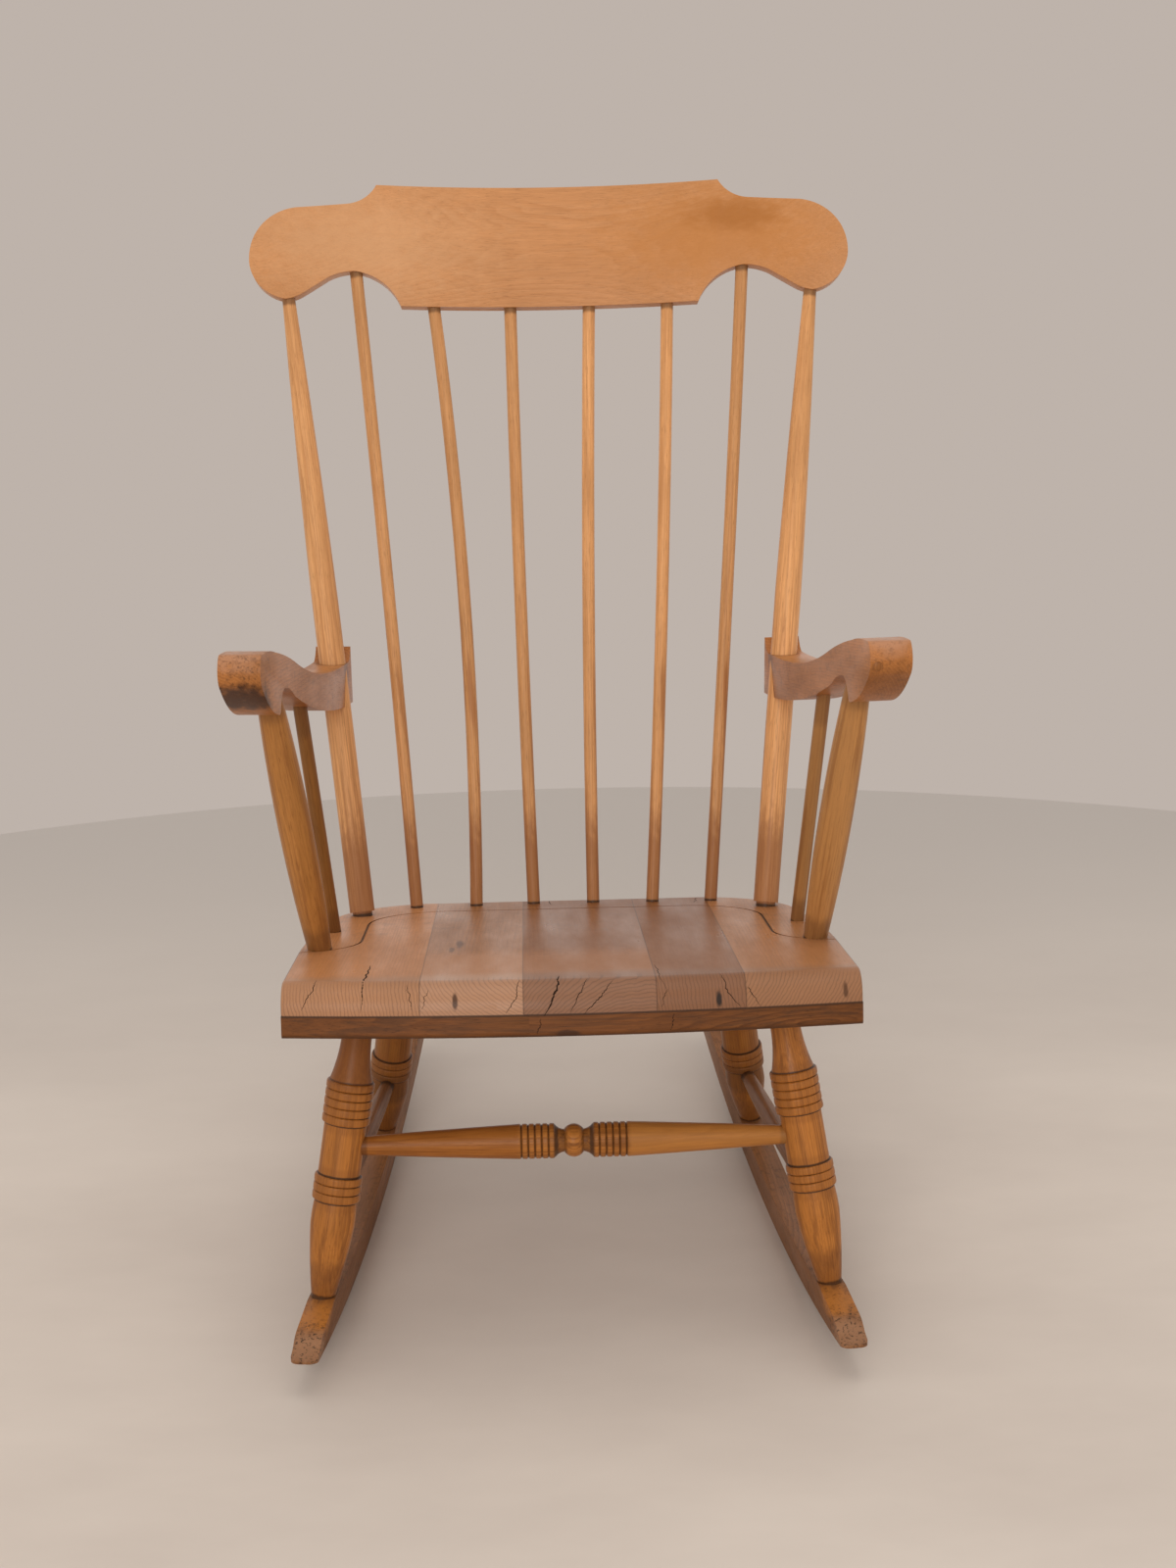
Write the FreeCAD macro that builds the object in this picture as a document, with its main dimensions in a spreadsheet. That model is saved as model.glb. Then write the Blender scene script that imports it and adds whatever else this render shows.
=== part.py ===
import FreeCAD, Part
import math
import os
import Sketcher
from FreeCAD import Placement, Rotation, Vector

# A wooden rocking chair with arms. A sloping seat of glued staves stands on four turned legs
# and two curved rockers. Six bent spindles and two turned posts carry a curved crest rail.
# Units are millimetres. X points right as seen from the front, Y to the back and Z up.
# The origin is on the floor, in the middle of the chair's width and length.

os.makedirs("parts", exist_ok=True)
doc = FreeCAD.newDocument("rocking_chair")


# Driving dimensions
# Names ending in _y are places behind the seat's front edge, and _x places beside its middle.
# Names ending in _back are distances in front of the seat's back edge.
# Names ending in _inset or _taper are distances in from the seat's side or from another piece.
# Names ending in _along are distances along a piece's own axis, from its lower end.

DIMENSIONS = {
    # clearances
    "fit_gap": 0.05,
    "blind_gap": 1,
    "cutter_margin": 6,
    # rockers
    "contact_y": 278.3,
    "rocker_radius": 1750,
    "rocker_depth": 28.5,
    "rocker_width": 26,
    "rocker_toe_in": 5.68,
    "rocker_toe_y": -73,
    "rocker_tail_y": 713,
    "nose_height": 48,
    "nose_length": 40,
    "nose_shoulder": 20,
    "nose_shoulder_height": 42,
    "nose_shoulder_radius": 34,
    "nose_hollow_radius": 70,
    "nose_tip": 3,
    "toe_corner": 9,
    "tail_round": 20,
    "tail_round_radius": 21,
    # seat
    "seat_height": 384.2,
    "seat_slope": 11.9,
    "seat_depth": 475,
    "seat_half": 266.5,
    "seat_front_taper": 0.5,
    "seat_front_bow": 22.5,
    "seat_side_end": 170,
    "seat_curve_taper": 16.5,
    "seat_curve_back": 100,
    "seat_curve_radius": 1282,
    "seat_rear_taper": 110.5,
    "seat_corner_radius": 112,
    "seat_board": 29,
    "seat_front_round": 24,
    "seat_edge_round": 3,
    "stave_joint_1": -139,
    "stave_joint_2": -45,
    "stave_joint_3": 76,
    "stave_joint_4": 157.5,
    "block_height": 21,
    "block_depth": 58,
    "block_round": 5,
    "block_joint_1": -40,
    "block_joint_2": 89,
    # groove round the sitting area
    "groove_width": 2.6,
    "groove_depth": 1.6,
    "groove_back": 59,
    "groove_side_inset": 57.5,
    "groove_corner": 80,
    "groove_flare": 60,
    "groove_side": 175,
    # legs
    "front_socket_inset": 67.4,
    "front_socket": 107.1,
    "front_splay": 46.7,
    "front_rake": -65.4,
    "rear_socket_inset": 91.2,
    "rear_socket_back": 66.6,
    "rear_rake": 30,
    "leg_socket_depth": 19,
    "leg_top_radius": 12.5,
    "leg_neck_radius": 14.5,
    "leg_neck_length": 43,
    "leg_shoulder_radius": 20.7,
    "leg_plain_radius": 20.3,
    "leg_vase_radius": 21.4,
    "leg_foot_radius": 11.5,
    "leg_foot_below": 9,
    "leg_foot_above": 0.5,
    "vase_rise_ratio": 9,
    "vase_fall_ratio": 3,
    "foot_tenon_radius": 7,
    "foot_tenon": 17,
    "ring_radius": 23.1,
    "ring_pitch": 8.3,
    "ring_round": 2.2,
    "front_vase_along": 71,
    "front_low_rings": 108.3,
    "front_high_rings": 192.3,
    "rear_vase_along": 50,
    "rear_low_rings": 83,
    "rear_high_rings": 150,
    # front stretcher
    "front_stretcher_along": 147.9,
    "front_stretcher_end": 9.2,
    "front_stretcher_radius": 16.8,
    "stretcher_bead": 15.9,
    "stretcher_bead_half": 9.4,
    "stretcher_cove": 10.8,
    "stretcher_cove_radius": 14,
    "stretcher_rings": 18,
    "stretcher_ring_pitch": 6.5,
    "stretcher_groove": 1.5,
    "stretcher_taper_radius": 9000,
    "stretcher_tenon": 17,
    "stretcher_neck": 4,
    # side stretchers
    "side_stretcher_front": 84,
    "side_stretcher_rear": 62,
    "side_stretcher_end": 7.6,
    "side_stretcher_radius": 9.9,
    "side_stretcher_neck": 6,
    # tenons in the seat, the arms and the crest rail
    "seat_tenon": 20,
    "arm_tenon": 18,
    "crest_tenon": 22,
    # posts
    "post_inset": 48,
    "post_back": 73.8,
    "post_crest_x": 284.5,
    "post_foot_radius": 13.4,
    "post_tenon_radius": 10.5,
    "post_reveal": 4,
    "post_radius": 14.2,
    "post_swell_along": 195,
    "post_taper_along": 345,
    "post_taper_radius": 15000,
    "post_top_radius": 7.1,
    "post_neck": 4,
    # back spindles
    "spindle_radius": 6.9,
    "inner_spindle_x": 33,
    "inner_spindle_back": 17.2,
    "inner_spindle_crest_x": 43.8,
    "middle_spindle_x": 97.8,
    "middle_spindle_back": 22.6,
    "middle_spindle_crest_x": 129.7,
    "outer_spindle_x": 162.3,
    "outer_spindle_back": 26.2,
    "outer_spindle_crest_x": 212.5,
    "spindle_bow_1": 2,
    "spindle_bow_2": 12,
    "spindle_bow_3": -1.5,
    "spindle_bow_4": -3,
    "spindle_bow_5": 3,
    "spindle_bow_6": 1.5,
    # crest rail
    "crest_behind_seat": 173,
    "crest_above_seat": 535.8,
    "crest_lean": 19,
    "crest_bend": 850,
    "crest_board": 18,
    "crest_height": 133,
    "crest_low_x": 164,
    "crest_notch_x": 213,
    "crest_notch": 37,
    "crest_notch_radius": 58,
    "crest_slope_x": 242,
    "crest_slope": 28.5,
    "crest_slope_radius": 62,
    "crest_ear_x": 268,
    "crest_ear": 10.5,
    "crest_ear_low_x": 286,
    "crest_ear_low": 2.5,
    "crest_ear_low_radius": 50,
    "crest_ear_side_x": 324,
    "crest_ear_side": 43,
    "crest_ear_side_radius": 39,
    "crest_ear_top_x": 275,
    "crest_ear_top": 103,
    "crest_ear_top_radius": 62,
    "crest_cove_x": 221,
    "crest_cove": 110.5,
    "crest_cove_radius": 43,
    "crest_top_x": 188,
    # arms
    "arm_width": 38,
    "arm_splay": 4.5,
    "arm_post_inset": 5.6,
    "arm_above_seat": 123.8,
    "arm_tail": 36.9,
    "arm_end_height": 63,
    "arm_lip": 18,
    "arm_lip_height": 50,
    "arm_lip_radius": 26,
    "arm_hollow": 349,
    "arm_hollow_height": 77,
    "arm_hollow_radius": 1750,
    "arm_rise": 193,
    "arm_rise_height": 50.5,
    "arm_rise_radius": 960,
    "arm_crown": 84,
    "arm_crown_height": 39.5,
    "arm_crown_radius": 930,
    "arm_roll": 19,
    "arm_roll_height": 14,
    "arm_roll_radius": 250,
    "arm_nose": 3,
    "arm_nose_drop": 31,
    "arm_nose_radius": 18.5,
    "arm_hook": 72,
    "arm_hook_drop": 43,
    "arm_hook_radius": 160,
    "arm_hook_tip": 7,
    "arm_hook_tip_rise": 3,
    "arm_hook_tip_radius": 6,
    "arm_notch": 30,
    "arm_notch_rise": 17,
    "arm_notch_radius": 26,
    "arm_belly": 50,
    "arm_belly_drop": 21,
    "arm_belly_radius": 120,
    "arm_under_radius": 1400,
    "arm_bore_start": 25,
    "plug_height": 11,
    "plug_inset": 12,
    "plug_radius": 4.4,
    "plug_proud": 1,
    "plug_depth": 16,
    # supports and spindles under the arms
    "support_inset": 20.5,
    "support_seat": 188.8,
    "support_behind_notch": 13,
    "support_foot_radius": 12,
    "support_radius": 16.3,
    "support_swell_along": 140,
    "support_top_radius": 12.2,
    "support_foot": 4,
    "support_neck": 14,
    "arm_spindle_side": 26.1,
    "arm_spindle_seat": 295.3,
    "arm_spindle_behind_belly": 92,
    "arm_spindle_inset": 6.5,
    "arm_spindle_radius": 7,
}

sheet = doc.addObject("Spreadsheet::Sheet", "Sizes")
for row, (alias, number) in enumerate(DIMENSIONS.items(), start=1):
    sheet.set("A%d" % row, alias.replace("_", " "))
    sheet.set("B%d" % row, str(number))
    sheet.setAlias("B%d" % row, alias)
doc.recompute()


class Size:
    """A number together with the formula over the sheet that it comes from."""

    def __init__(self, value, text):
        self.value = value
        self.text = text

    def __add__(self, other):
        other = as_size(other)
        return Size(self.value + other.value, "(%s + %s)" % (self.text, other.text))

    def __sub__(self, other):
        other = as_size(other)
        return Size(self.value - other.value, "(%s - %s)" % (self.text, other.text))

    def __mul__(self, other):
        other = as_size(other)
        return Size(self.value * other.value, "(%s * %s)" % (self.text, other.text))

    def __truediv__(self, other):
        other = as_size(other)
        return Size(self.value / other.value, "(%s / %s)" % (self.text, other.text))

    def __neg__(self):
        return self * -1


def as_size(thing):
    if isinstance(thing, Size):
        return thing
    return Size(float(thing), "(%s)" % thing)


def mm(alias):
    return float(sheet.get(alias))


def size(alias):
    return Size(mm(alias), "Sizes.%s" % alias)


def root(square):
    return Size(math.sqrt(square.value), "sqrt(%s)" % square.text)


def belly(length, rise):
    """The radius of an arc that rises this much over this length and ends parallel to it."""
    return (length * length + rise * rise) / (rise * 2)


# Drawing helpers

def new_sketch(body, name, role):
    """A sketch on one of a body's own origin planes."""
    plane = [feature for feature in body.Origin.OriginFeatures if feature.Role == role][0]
    sketch = body.newObject("Sketcher::SketchObject", name)
    sketch.AttachmentSupport = [(plane, "")]
    sketch.MapMode = "FlatFace"
    return sketch


def flat(place):
    return Vector(as_size(place[0]).value, as_size(place[1]).value, 0)


def arc_between(start, end, radius, turn):
    """The short arc from start to end that turns left (1) or right (-1)."""
    chord = end - start
    half = chord.Length / 2
    rise = math.sqrt(radius * radius - half * half)
    left = Vector(-chord.y, chord.x, 0)
    left.normalize()
    centre = start + chord * 0.5 + left * (rise * turn)
    first, last = (start, end) if turn > 0 else (end, start)
    first_angle = math.atan2(first.y - centre.y, first.x - centre.x)
    last_angle = math.atan2(last.y - centre.y, last.x - centre.x)
    return Part.ArcOfCircle(Part.Circle(centre, Vector(0, 0, 1), radius), first_angle, last_angle)


def bind(sketch, kind, parts, length):
    """Add a dimension to a sketch and tie it to the sheet."""
    number = sketch.addConstraint(Sketcher.Constraint(kind, *parts, length.value))
    sketch.setExpression("Constraints[%d]" % number, length.text)


def pin_point(sketch, geometry, end, place):
    """Hold a sketch point at its place across and up from the sketch's origin."""
    for kind, length, axis in (("DistanceX", place[0], -2), ("DistanceY", place[1], -1)):
        if isinstance(length, Size):
            bind(sketch, kind, (-1, 1, geometry, end), length)
        else:
            sketch.addConstraint(Sketcher.Constraint("PointOnObject", geometry, end, axis))


def outline(sketch, start, moves):
    """Draw a closed run of lines and arcs. A move is (across, up) or (across, up, radius, turn)."""
    if (flat(moves[-1]) - flat(start)).Length > 0.001:
        moves = moves + [start]
    here = start
    ends = []
    for move in moves:
        if len(move) == 2:
            number = sketch.addGeometry(Part.LineSegment(flat(here), flat(move)), False)
            tail, head = 1, 2
        else:
            radius, turn = as_size(move[2]), move[3]
            number = sketch.addGeometry(arc_between(flat(here), flat(move), radius.value, turn), False)
            tail, head = (1, 2) if turn > 0 else (2, 1)
            bind(sketch, "Radius", (number,), radius)
        if ends:
            sketch.addConstraint(Sketcher.Constraint("Coincident", *ends[-1][1], number, tail))
        pin_point(sketch, number, tail, here)
        ends.append(((number, tail), (number, head)))
        here = move
    sketch.addConstraint(Sketcher.Constraint("Coincident", *ends[-1][1], *ends[0][0]))


def reflected(start, moves, flip):
    """The mirror image of a run of moves, drawn from its end back to its start."""
    places = [start] + [move[:2] for move in moves]
    back = []
    for number in range(len(moves) - 1, -1, -1):
        back.append(flip(*places[number]) + tuple(moves[number][2:]))
    return back


def across_middle(across, up):
    return (-across, up)


def end_for_end(across, up):
    return (across, -up)


def turned(name, start, moves, placement):
    """A turned piece: its half outline, radius across and length up, spun about its own axis."""
    body = doc.addObject("PartDesign::Body", name)
    sketch = new_sketch(body, name + "_outline", "XZ_Plane")
    outline(sketch, start, moves)
    spin = body.newObject("PartDesign::Revolution", name + "_spin")
    spin.Profile = sketch
    spin.ReferenceAxis = (sketch, ["V_Axis"])
    spin.Angle = 360
    sketch.Visibility = False
    body.Placement = placement
    return body


def sawn(name, role, start, moves, width, placement):
    """A piece sawn to an outline, with half its width on each side of the outline's plane."""
    body = doc.addObject("PartDesign::Body", name)
    sketch = new_sketch(body, name + "_outline", role)
    outline(sketch, start, moves)
    pad = body.newObject("PartDesign::Pad", name + "_width")
    pad.Profile = sketch
    pad.SideType = "Symmetric"
    pad.setExpression("Length", width.text)
    sketch.Visibility = False
    body.Placement = placement
    return body


def rounded(body, name, chosen, alias):
    """Round the edges of a body that pass a test."""
    doc.recompute()
    tip = body.Tip
    names = ["Edge%d" % number for number, edge in enumerate(tip.Shape.Edges, start=1) if chosen(edge)]
    fillet = body.newObject("PartDesign::Fillet", name)
    fillet.Base = (tip, names)
    fillet.setExpression("Radius", "Sizes." + alias)


def rod(name, radius, length, placement):
    piece = doc.addObject("Part::Cylinder", name)
    piece.setExpression("Radius", radius.text)
    piece.setExpression("Height", length.text)
    piece.Placement = placement
    return piece


lighter = []


def cut(name, base, tools):
    """Take one or more tools away from a piece."""
    tool = tools[0]
    if len(tools) > 1:
        tool = doc.addObject("Part::MultiFuse", name + "_tools")
        tool.Shapes = tools
    piece = doc.addObject("Part::Cut", name)
    piece.Base = base
    piece.Tool = tool
    lighter.append((piece, base))
    return piece


def along_axis(start, end, before=0.0):
    """A placement that points Z from start to end, beginning this far before start."""
    direction = (end - start).normalize()
    return Placement(start - direction * before, Rotation(Vector(0, 0, 1), direction))


SIDES = (("left", -1), ("right", 1))
ORIGIN_Y = (mm("rocker_toe_y") + mm("rocker_tail_y")) / 2
FIT = size("fit_gap")
BLIND = size("blind_gap")
MARGIN = size("cutter_margin")
TOUCHING = 0.01
nodes = {}


# Frames
# The seat frame lies on the seat's top at its front edge, with Y back down the slope.
# The crest frame stands at the foot of the crest rail's front face, with Z up the lean.
# The arm frame stands level with the underside of the arm's back end, over the seat's front edge,
# with Y back along the arm and Z up. The post passes through the arm a little inside its middle.

SEAT_FRAME = Placement(Vector(0, -ORIGIN_Y, mm("seat_height")),
                       Rotation(Vector(1, 0, 0), -mm("seat_slope")))
CREST_FRAME = Placement(Vector(0, mm("seat_depth") + mm("crest_behind_seat") - ORIGIN_Y,
                               mm("seat_height") + mm("crest_above_seat")),
                        Rotation(Vector(1, 0, 0), -mm("crest_lean")))
ARM_HEIGHT = mm("seat_height") + mm("arm_above_seat")


def in_from_side(alias):
    return mm("seat_half") - mm(alias)


def on_seat(x, behind, up=0.0):
    return SEAT_FRAME.multVec(Vector(x, behind, up))


def in_crest(x, up):
    """A point half way through the crest rail's thickness."""
    middle = mm("crest_bend") + mm("crest_board") / 2
    return CREST_FRAME.multVec(Vector(x, math.sqrt(middle ** 2 - x ** 2) - mm("crest_bend"), up))


def post_ends(sign):
    return (on_seat(in_from_side("post_inset") * sign, mm("seat_depth") - mm("post_back")),
            in_crest(mm("post_crest_x") * sign, mm("crest_ear_low")))


def post_at(sign, height):
    """The point of a post's axis at this height above the floor."""
    base, top = post_ends(sign)
    return base + (top - base) * ((height - base.z) / (top.z - base.z))


def arm_frame(sign):
    splay = math.radians(mm("arm_splay"))
    post = post_at(1, ARM_HEIGHT + mm("arm_hollow_height") / 2)
    x = post.x + (mm("arm_post_inset") + (post.y + ORIGIN_Y) * math.sin(splay)) / math.cos(splay)
    return Placement(Vector(x * sign, -ORIGIN_Y, ARM_HEIGHT),
                     Rotation(Vector(0, 0, 1), mm("arm_splay") * sign))


# Rockers
# Each stands on a line that toes in to the back. Its frame starts where it touches the floor.

TOE_IN = math.radians(mm("rocker_toe_in"))
SOCKET_BEHIND = {"front": mm("front_socket"), "rear": mm("seat_depth") - mm("rear_socket_back")}


def leg_socket(end, sign):
    """The middle of a leg's socket in the seat's underside."""
    return on_seat(in_from_side(end + "_socket_inset") * sign, SOCKET_BEHIND[end], -mm("seat_board"))


def foot_y(end):
    return leg_socket(end, 1).y + ORIGIN_Y + mm(end + "_rake")


def rocker_x(seat_y):
    front_foot = in_from_side("front_socket_inset") + mm("front_splay")
    return front_foot - (seat_y - foot_y("front")) * math.tan(TOE_IN)


def rocker_frame(sign):
    return Placement(Vector(rocker_x(mm("contact_y")) * sign, mm("contact_y") - ORIGIN_Y, 0),
                     Rotation(Vector(0, 0, 1), mm("rocker_toe_in") * sign))


def rocker_top(sign, seat_y):
    """The middle of the rocker's top, this far behind the seat's front edge."""
    reach = (seat_y - mm("contact_y")) / math.cos(TOE_IN)
    inner = mm("rocker_radius") - mm("rocker_depth")
    height = mm("rocker_radius") - math.sqrt(inner ** 2 - reach ** 2)
    return Vector(rocker_x(seat_y) * sign, seat_y - ORIGIN_Y, height)


COSINE = Size(math.cos(TOE_IN), "cos(Sizes.rocker_toe_in * 1 deg)")
ROCKER_FRONT = (size("contact_y") - size("rocker_toe_y")) / COSINE
ROCKER_REAR = (size("rocker_tail_y") - size("contact_y")) / COSINE


def rocker_blank(name, sign, depth):
    radius = size("rocker_radius")
    inner = radius - depth
    front = ROCKER_FRONT
    rear = ROCKER_REAR
    tail = size("tail_round")
    nose = size("nose_height")
    shoulder = front - size("nose_length")
    step = shoulder + size("nose_shoulder")

    def sole(reach):
        return radius - root(radius * radius - reach * reach)

    def top(reach):
        return radius - root(inner * inner - reach * reach)

    flat_start = root(inner * inner - (radius - nose) * (radius - nose))
    moves = [(rear, sole(rear), radius, 1),
             (rear, top(rear - tail) - tail),
             (rear - tail, top(rear - tail), size("tail_round_radius"), 1),
             (-flat_start, nose, inner, -1),
             (-shoulder, nose),
             (-step, size("nose_shoulder_height"), size("nose_shoulder_radius"), 1),
             (-front, sole(front) + size("nose_tip"), size("nose_hollow_radius"), -1)]
    return sawn(name, "YZ_Plane", (-front, sole(front)), moves, size("rocker_width"),
                rocker_frame(sign))


def rounded_toe(name, sign, blank):
    """The blank with the corners of its toe rounded, as seen from above."""
    half = size("rocker_width") / 2
    corner = size("toe_corner")
    moves = [(-half, corner - ROCKER_FRONT),
             (corner - half, -ROCKER_FRONT, corner, 1),
             (half - corner, -ROCKER_FRONT),
             (half, corner - ROCKER_FRONT, corner, 1),
             (half, ROCKER_REAR + MARGIN)]
    piece = doc.addObject("Part::Common", name)
    piece.Base = blank
    piece.Tool = sawn(name + "_plan", "XY_Plane", (-half, ROCKER_REAR + MARGIN), moves,
                      size("rocker_radius"), rocker_frame(sign))
    return piece


rocker_blanks = {side: rounded_toe("rocker_%s_curved" % side, sign,
                                   rocker_blank("rocker_%s_blank" % side, sign, size("rocker_depth")))
                 for side, sign in SIDES}
rocker_scribes = {side: rocker_blank("rocker_%s_scribe" % side, sign, size("rocker_depth") + FIT)
                  for side, sign in SIDES}


# Legs
# Each is turned, scribed to the top of its rocker and tenoned into the rocker and the seat.

LOW_RINGS = 3
HIGH_RINGS = 5


def leg_ends(end, sign):
    return rocker_top(sign, foot_y(end)), leg_socket(end, sign)


def along_leg(end, sign, distance):
    foot, socket = leg_ends(end, sign)
    return foot + (socket - foot).normalize() * distance


def ring_bands(start, count):
    """The outline of a group of round-edged bands, from its lower end up."""
    band = size("ring_radius")
    pitch = size("ring_pitch")
    edge = size("ring_round")
    moves = [(band - edge, start)]
    for number in range(count):
        low = start + pitch * number
        moves += [(band, low + edge, edge, 1),
                  (band, low + pitch - edge),
                  (band - edge, low + pitch, edge, 1)]
    return moves


def leg_blank(end, side, sign):
    foot, socket = leg_ends(end, sign)
    length = as_size(round((socket - foot).Length, 3))
    below = size("leg_foot_below")
    vase = size(end + "_vase_along")
    pitch = size("ring_pitch")
    low = size(end + "_low_rings") - pitch * (LOW_RINGS / 2)
    high = size(end + "_high_rings") - pitch * (HIGH_RINGS / 2)
    neck = high + pitch * HIGH_RINGS
    plain = size("leg_plain_radius")
    top = length + size("leg_socket_depth")
    moves = [(size("leg_foot_radius"), -below),
             (size("leg_foot_radius"), size("leg_foot_above")),
             (size("leg_vase_radius"), vase, vase * size("vase_rise_ratio"), 1),
             (plain, low, vase * size("vase_fall_ratio"), 1)]
    moves += ring_bands(low, LOW_RINGS)
    moves += [(plain, low + pitch * LOW_RINGS), (plain, high)]
    moves += ring_bands(high, HIGH_RINGS)
    moves += [(size("leg_shoulder_radius"), neck),
              (size("leg_neck_radius"), neck + size("leg_neck_length"),
               belly(size("leg_neck_length"), size("leg_shoulder_radius") - size("leg_neck_radius")), -1),
              (size("leg_top_radius"), length),
              (size("leg_top_radius"), top),
              (0, top)]
    name = "%s_leg_%s" % (end, side)
    blank = turned(name + "_turned", (0, -below), moves, along_axis(foot, socket))
    scribed = cut(name + "_scribed", blank, [rocker_scribes[side]])
    tenon = rod(name + "_tenon", size("foot_tenon_radius"), size("foot_tenon") + MARGIN,
                along_axis(foot, socket, mm("foot_tenon")))
    whole = doc.addObject("Part::MultiFuse", name + "_whole")
    whole.Shapes = [scribed, tenon]
    return whole


leg_blanks = {(end, side): leg_blank(end, side, sign) for end in ("front", "rear") for side, sign in SIDES}


# Front stretcher
# A bead between two coves and two groups of grooves, tapering out to its ends.

STRETCHER_RINGS = 5


def front_stretcher():
    left = along_leg("front", -1, mm("front_stretcher_along"))
    right = along_leg("front", 1, mm("front_stretcher_along"))
    leg = as_size(round((right - left).Length / 2, 3))
    end = leg - size("leg_plain_radius") + size("stretcher_tenon")
    wide = size("front_stretcher_radius")
    thin = size("front_stretcher_end")
    groove = size("stretcher_groove")
    pitch = size("stretcher_ring_pitch")
    rings = size("stretcher_rings")
    cove = size("stretcher_cove")
    half_bead = size("stretcher_bead_half")
    first = (cove, half_bead)
    moves = [(wide - groove, rings, size("stretcher_cove_radius"), -1)]
    for number in range(STRETCHER_RINGS):
        low = rings + pitch * number
        moves += [(wide, low + groove),
                  (wide, low + pitch - groove),
                  (wide - groove, low + pitch)]
    moves += [(wide, rings + pitch * STRETCHER_RINGS + groove),
              (thin, leg - size("leg_plain_radius") - size("stretcher_neck"),
               size("stretcher_taper_radius"), 1),
              (thin, end)]
    bead = belly(half_bead, size("stretcher_bead") - cove)
    lower = reflected(first, moves, end_for_end)
    whole = [(thin, -end)] + lower + [first + (bead, 1)] + moves + [(0, end)]
    return turned("front_stretcher", (0, -end), whole,
                  Placement((left + right) * 0.5, Rotation(Vector(0, 0, 1), Vector(1, 0, 0))))


nodes["front_stretcher"] = front_stretcher()


def stretcher_socket(name, start, end, radius):
    """A bore for a stretcher's two ends, a little longer than the stretcher."""
    length = as_size(round((end - start).Length, 3)) + BLIND * 2
    return rod(name, radius + FIT, length, along_axis(start, end, mm("blind_gap")))


def front_stretcher_socket():
    reach = Vector(mm("leg_plain_radius") - mm("stretcher_tenon"), 0, 0)
    left = along_leg("front", -1, mm("front_stretcher_along"))
    right = along_leg("front", 1, mm("front_stretcher_along"))
    return stretcher_socket("front_stretcher_socket", left + reach, right - reach,
                            size("front_stretcher_end"))


# Side stretchers
# Slim dowels, thickest in the middle, between the front and the rear leg on each side.

def side_stretcher_ends(sign):
    front = along_leg("front", sign, mm("side_stretcher_front"))
    rear = along_leg("rear", sign, mm("side_stretcher_rear"))
    reach = (rear - front).normalize() * (mm("leg_plain_radius") - mm("stretcher_tenon"))
    return front + reach, rear - reach


def side_stretcher(side, sign):
    front, rear = side_stretcher_ends(sign)
    length = as_size(round((rear - front).Length, 3))
    thin = size("side_stretcher_end")
    wide = size("side_stretcher_radius")
    straight = size("stretcher_tenon") + size("side_stretcher_neck")
    curve = belly(length / 2 - straight, wide - thin)
    moves = [(thin, 0),
             (thin, straight),
             (wide, length / 2, curve, 1),
             (thin, length - straight, curve, 1),
             (thin, length),
             (0, length)]
    return turned("side_stretcher_%s" % side, (0, 0), moves, along_axis(front, rear))


front_socket = front_stretcher_socket()
for side, sign in SIDES:
    nodes["side_stretcher_%s" % side] = side_stretcher(side, sign)
    front, rear = side_stretcher_ends(sign)
    side_socket = stretcher_socket("side_socket_%s" % side, front, rear, size("side_stretcher_end"))
    for end, sockets in (("front", [front_socket, side_socket]), ("rear", [side_socket])):
        name = "%s_leg_%s" % (end, side)
        nodes[name] = cut(name, leg_blanks[end, side], sockets)
    sockets = []
    for end in ("front", "rear"):
        foot, socket = leg_ends(end, sign)
        sockets.append(rod("rocker_%s_%s_socket" % (side, end), size("foot_tenon_radius") + FIT,
                           size("foot_tenon") + BLIND + MARGIN,
                           along_axis(foot, socket, mm("foot_tenon") + mm("blind_gap"))))
    nodes["rocker_%s" % side] = cut("rocker_%s" % side, rocker_blanks[side], sockets)


# Posts
# They pass through the arms, thin out towards the crest rail and stand on slim tenons in the seat.

def back_post(side, sign):
    base, top = post_ends(sign)
    length = as_size(round((top - base).Length, 3))
    depth = size("seat_tenon")
    upper = length + size("crest_tenon")
    moves = [(size("post_tenon_radius"), -depth),
             (size("post_tenon_radius"), size("post_reveal")),
             (size("post_foot_radius"), size("post_reveal")),
             (size("post_radius"), size("post_swell_along")),
             (size("post_radius"), size("post_taper_along")),
             (size("post_top_radius"), length - size("post_neck"), size("post_taper_radius"), 1),
             (size("post_top_radius"), upper),
             (0, upper)]
    return turned("back_post_%s" % side, (0, -depth), moves, along_axis(base, top))


# Arms
# Scrolls sawn from thick planks: hollow behind, with a roll and a hook in front.
# The outline's places lie along the arm and above the underside of its back end.

def height_on_arc(start, end, radius, turn, across):
    """How high an arc that runs to the back lies at a place along it."""
    arc = arc_between(flat(start), flat(end), radius.value, turn)
    drop = math.sqrt(arc.Radius ** 2 - (across - arc.Center.x) ** 2)
    return arc.Center.y - drop * turn


def arm_end():
    """How far along the arm its back end lies: its tail behind the post."""
    post = arm_frame(1).inverse().multVec(post_at(1, ARM_HEIGHT + mm("arm_hollow_height") / 2))
    return as_size(round(post.y, 3)) + size("arm_tail")


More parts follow.
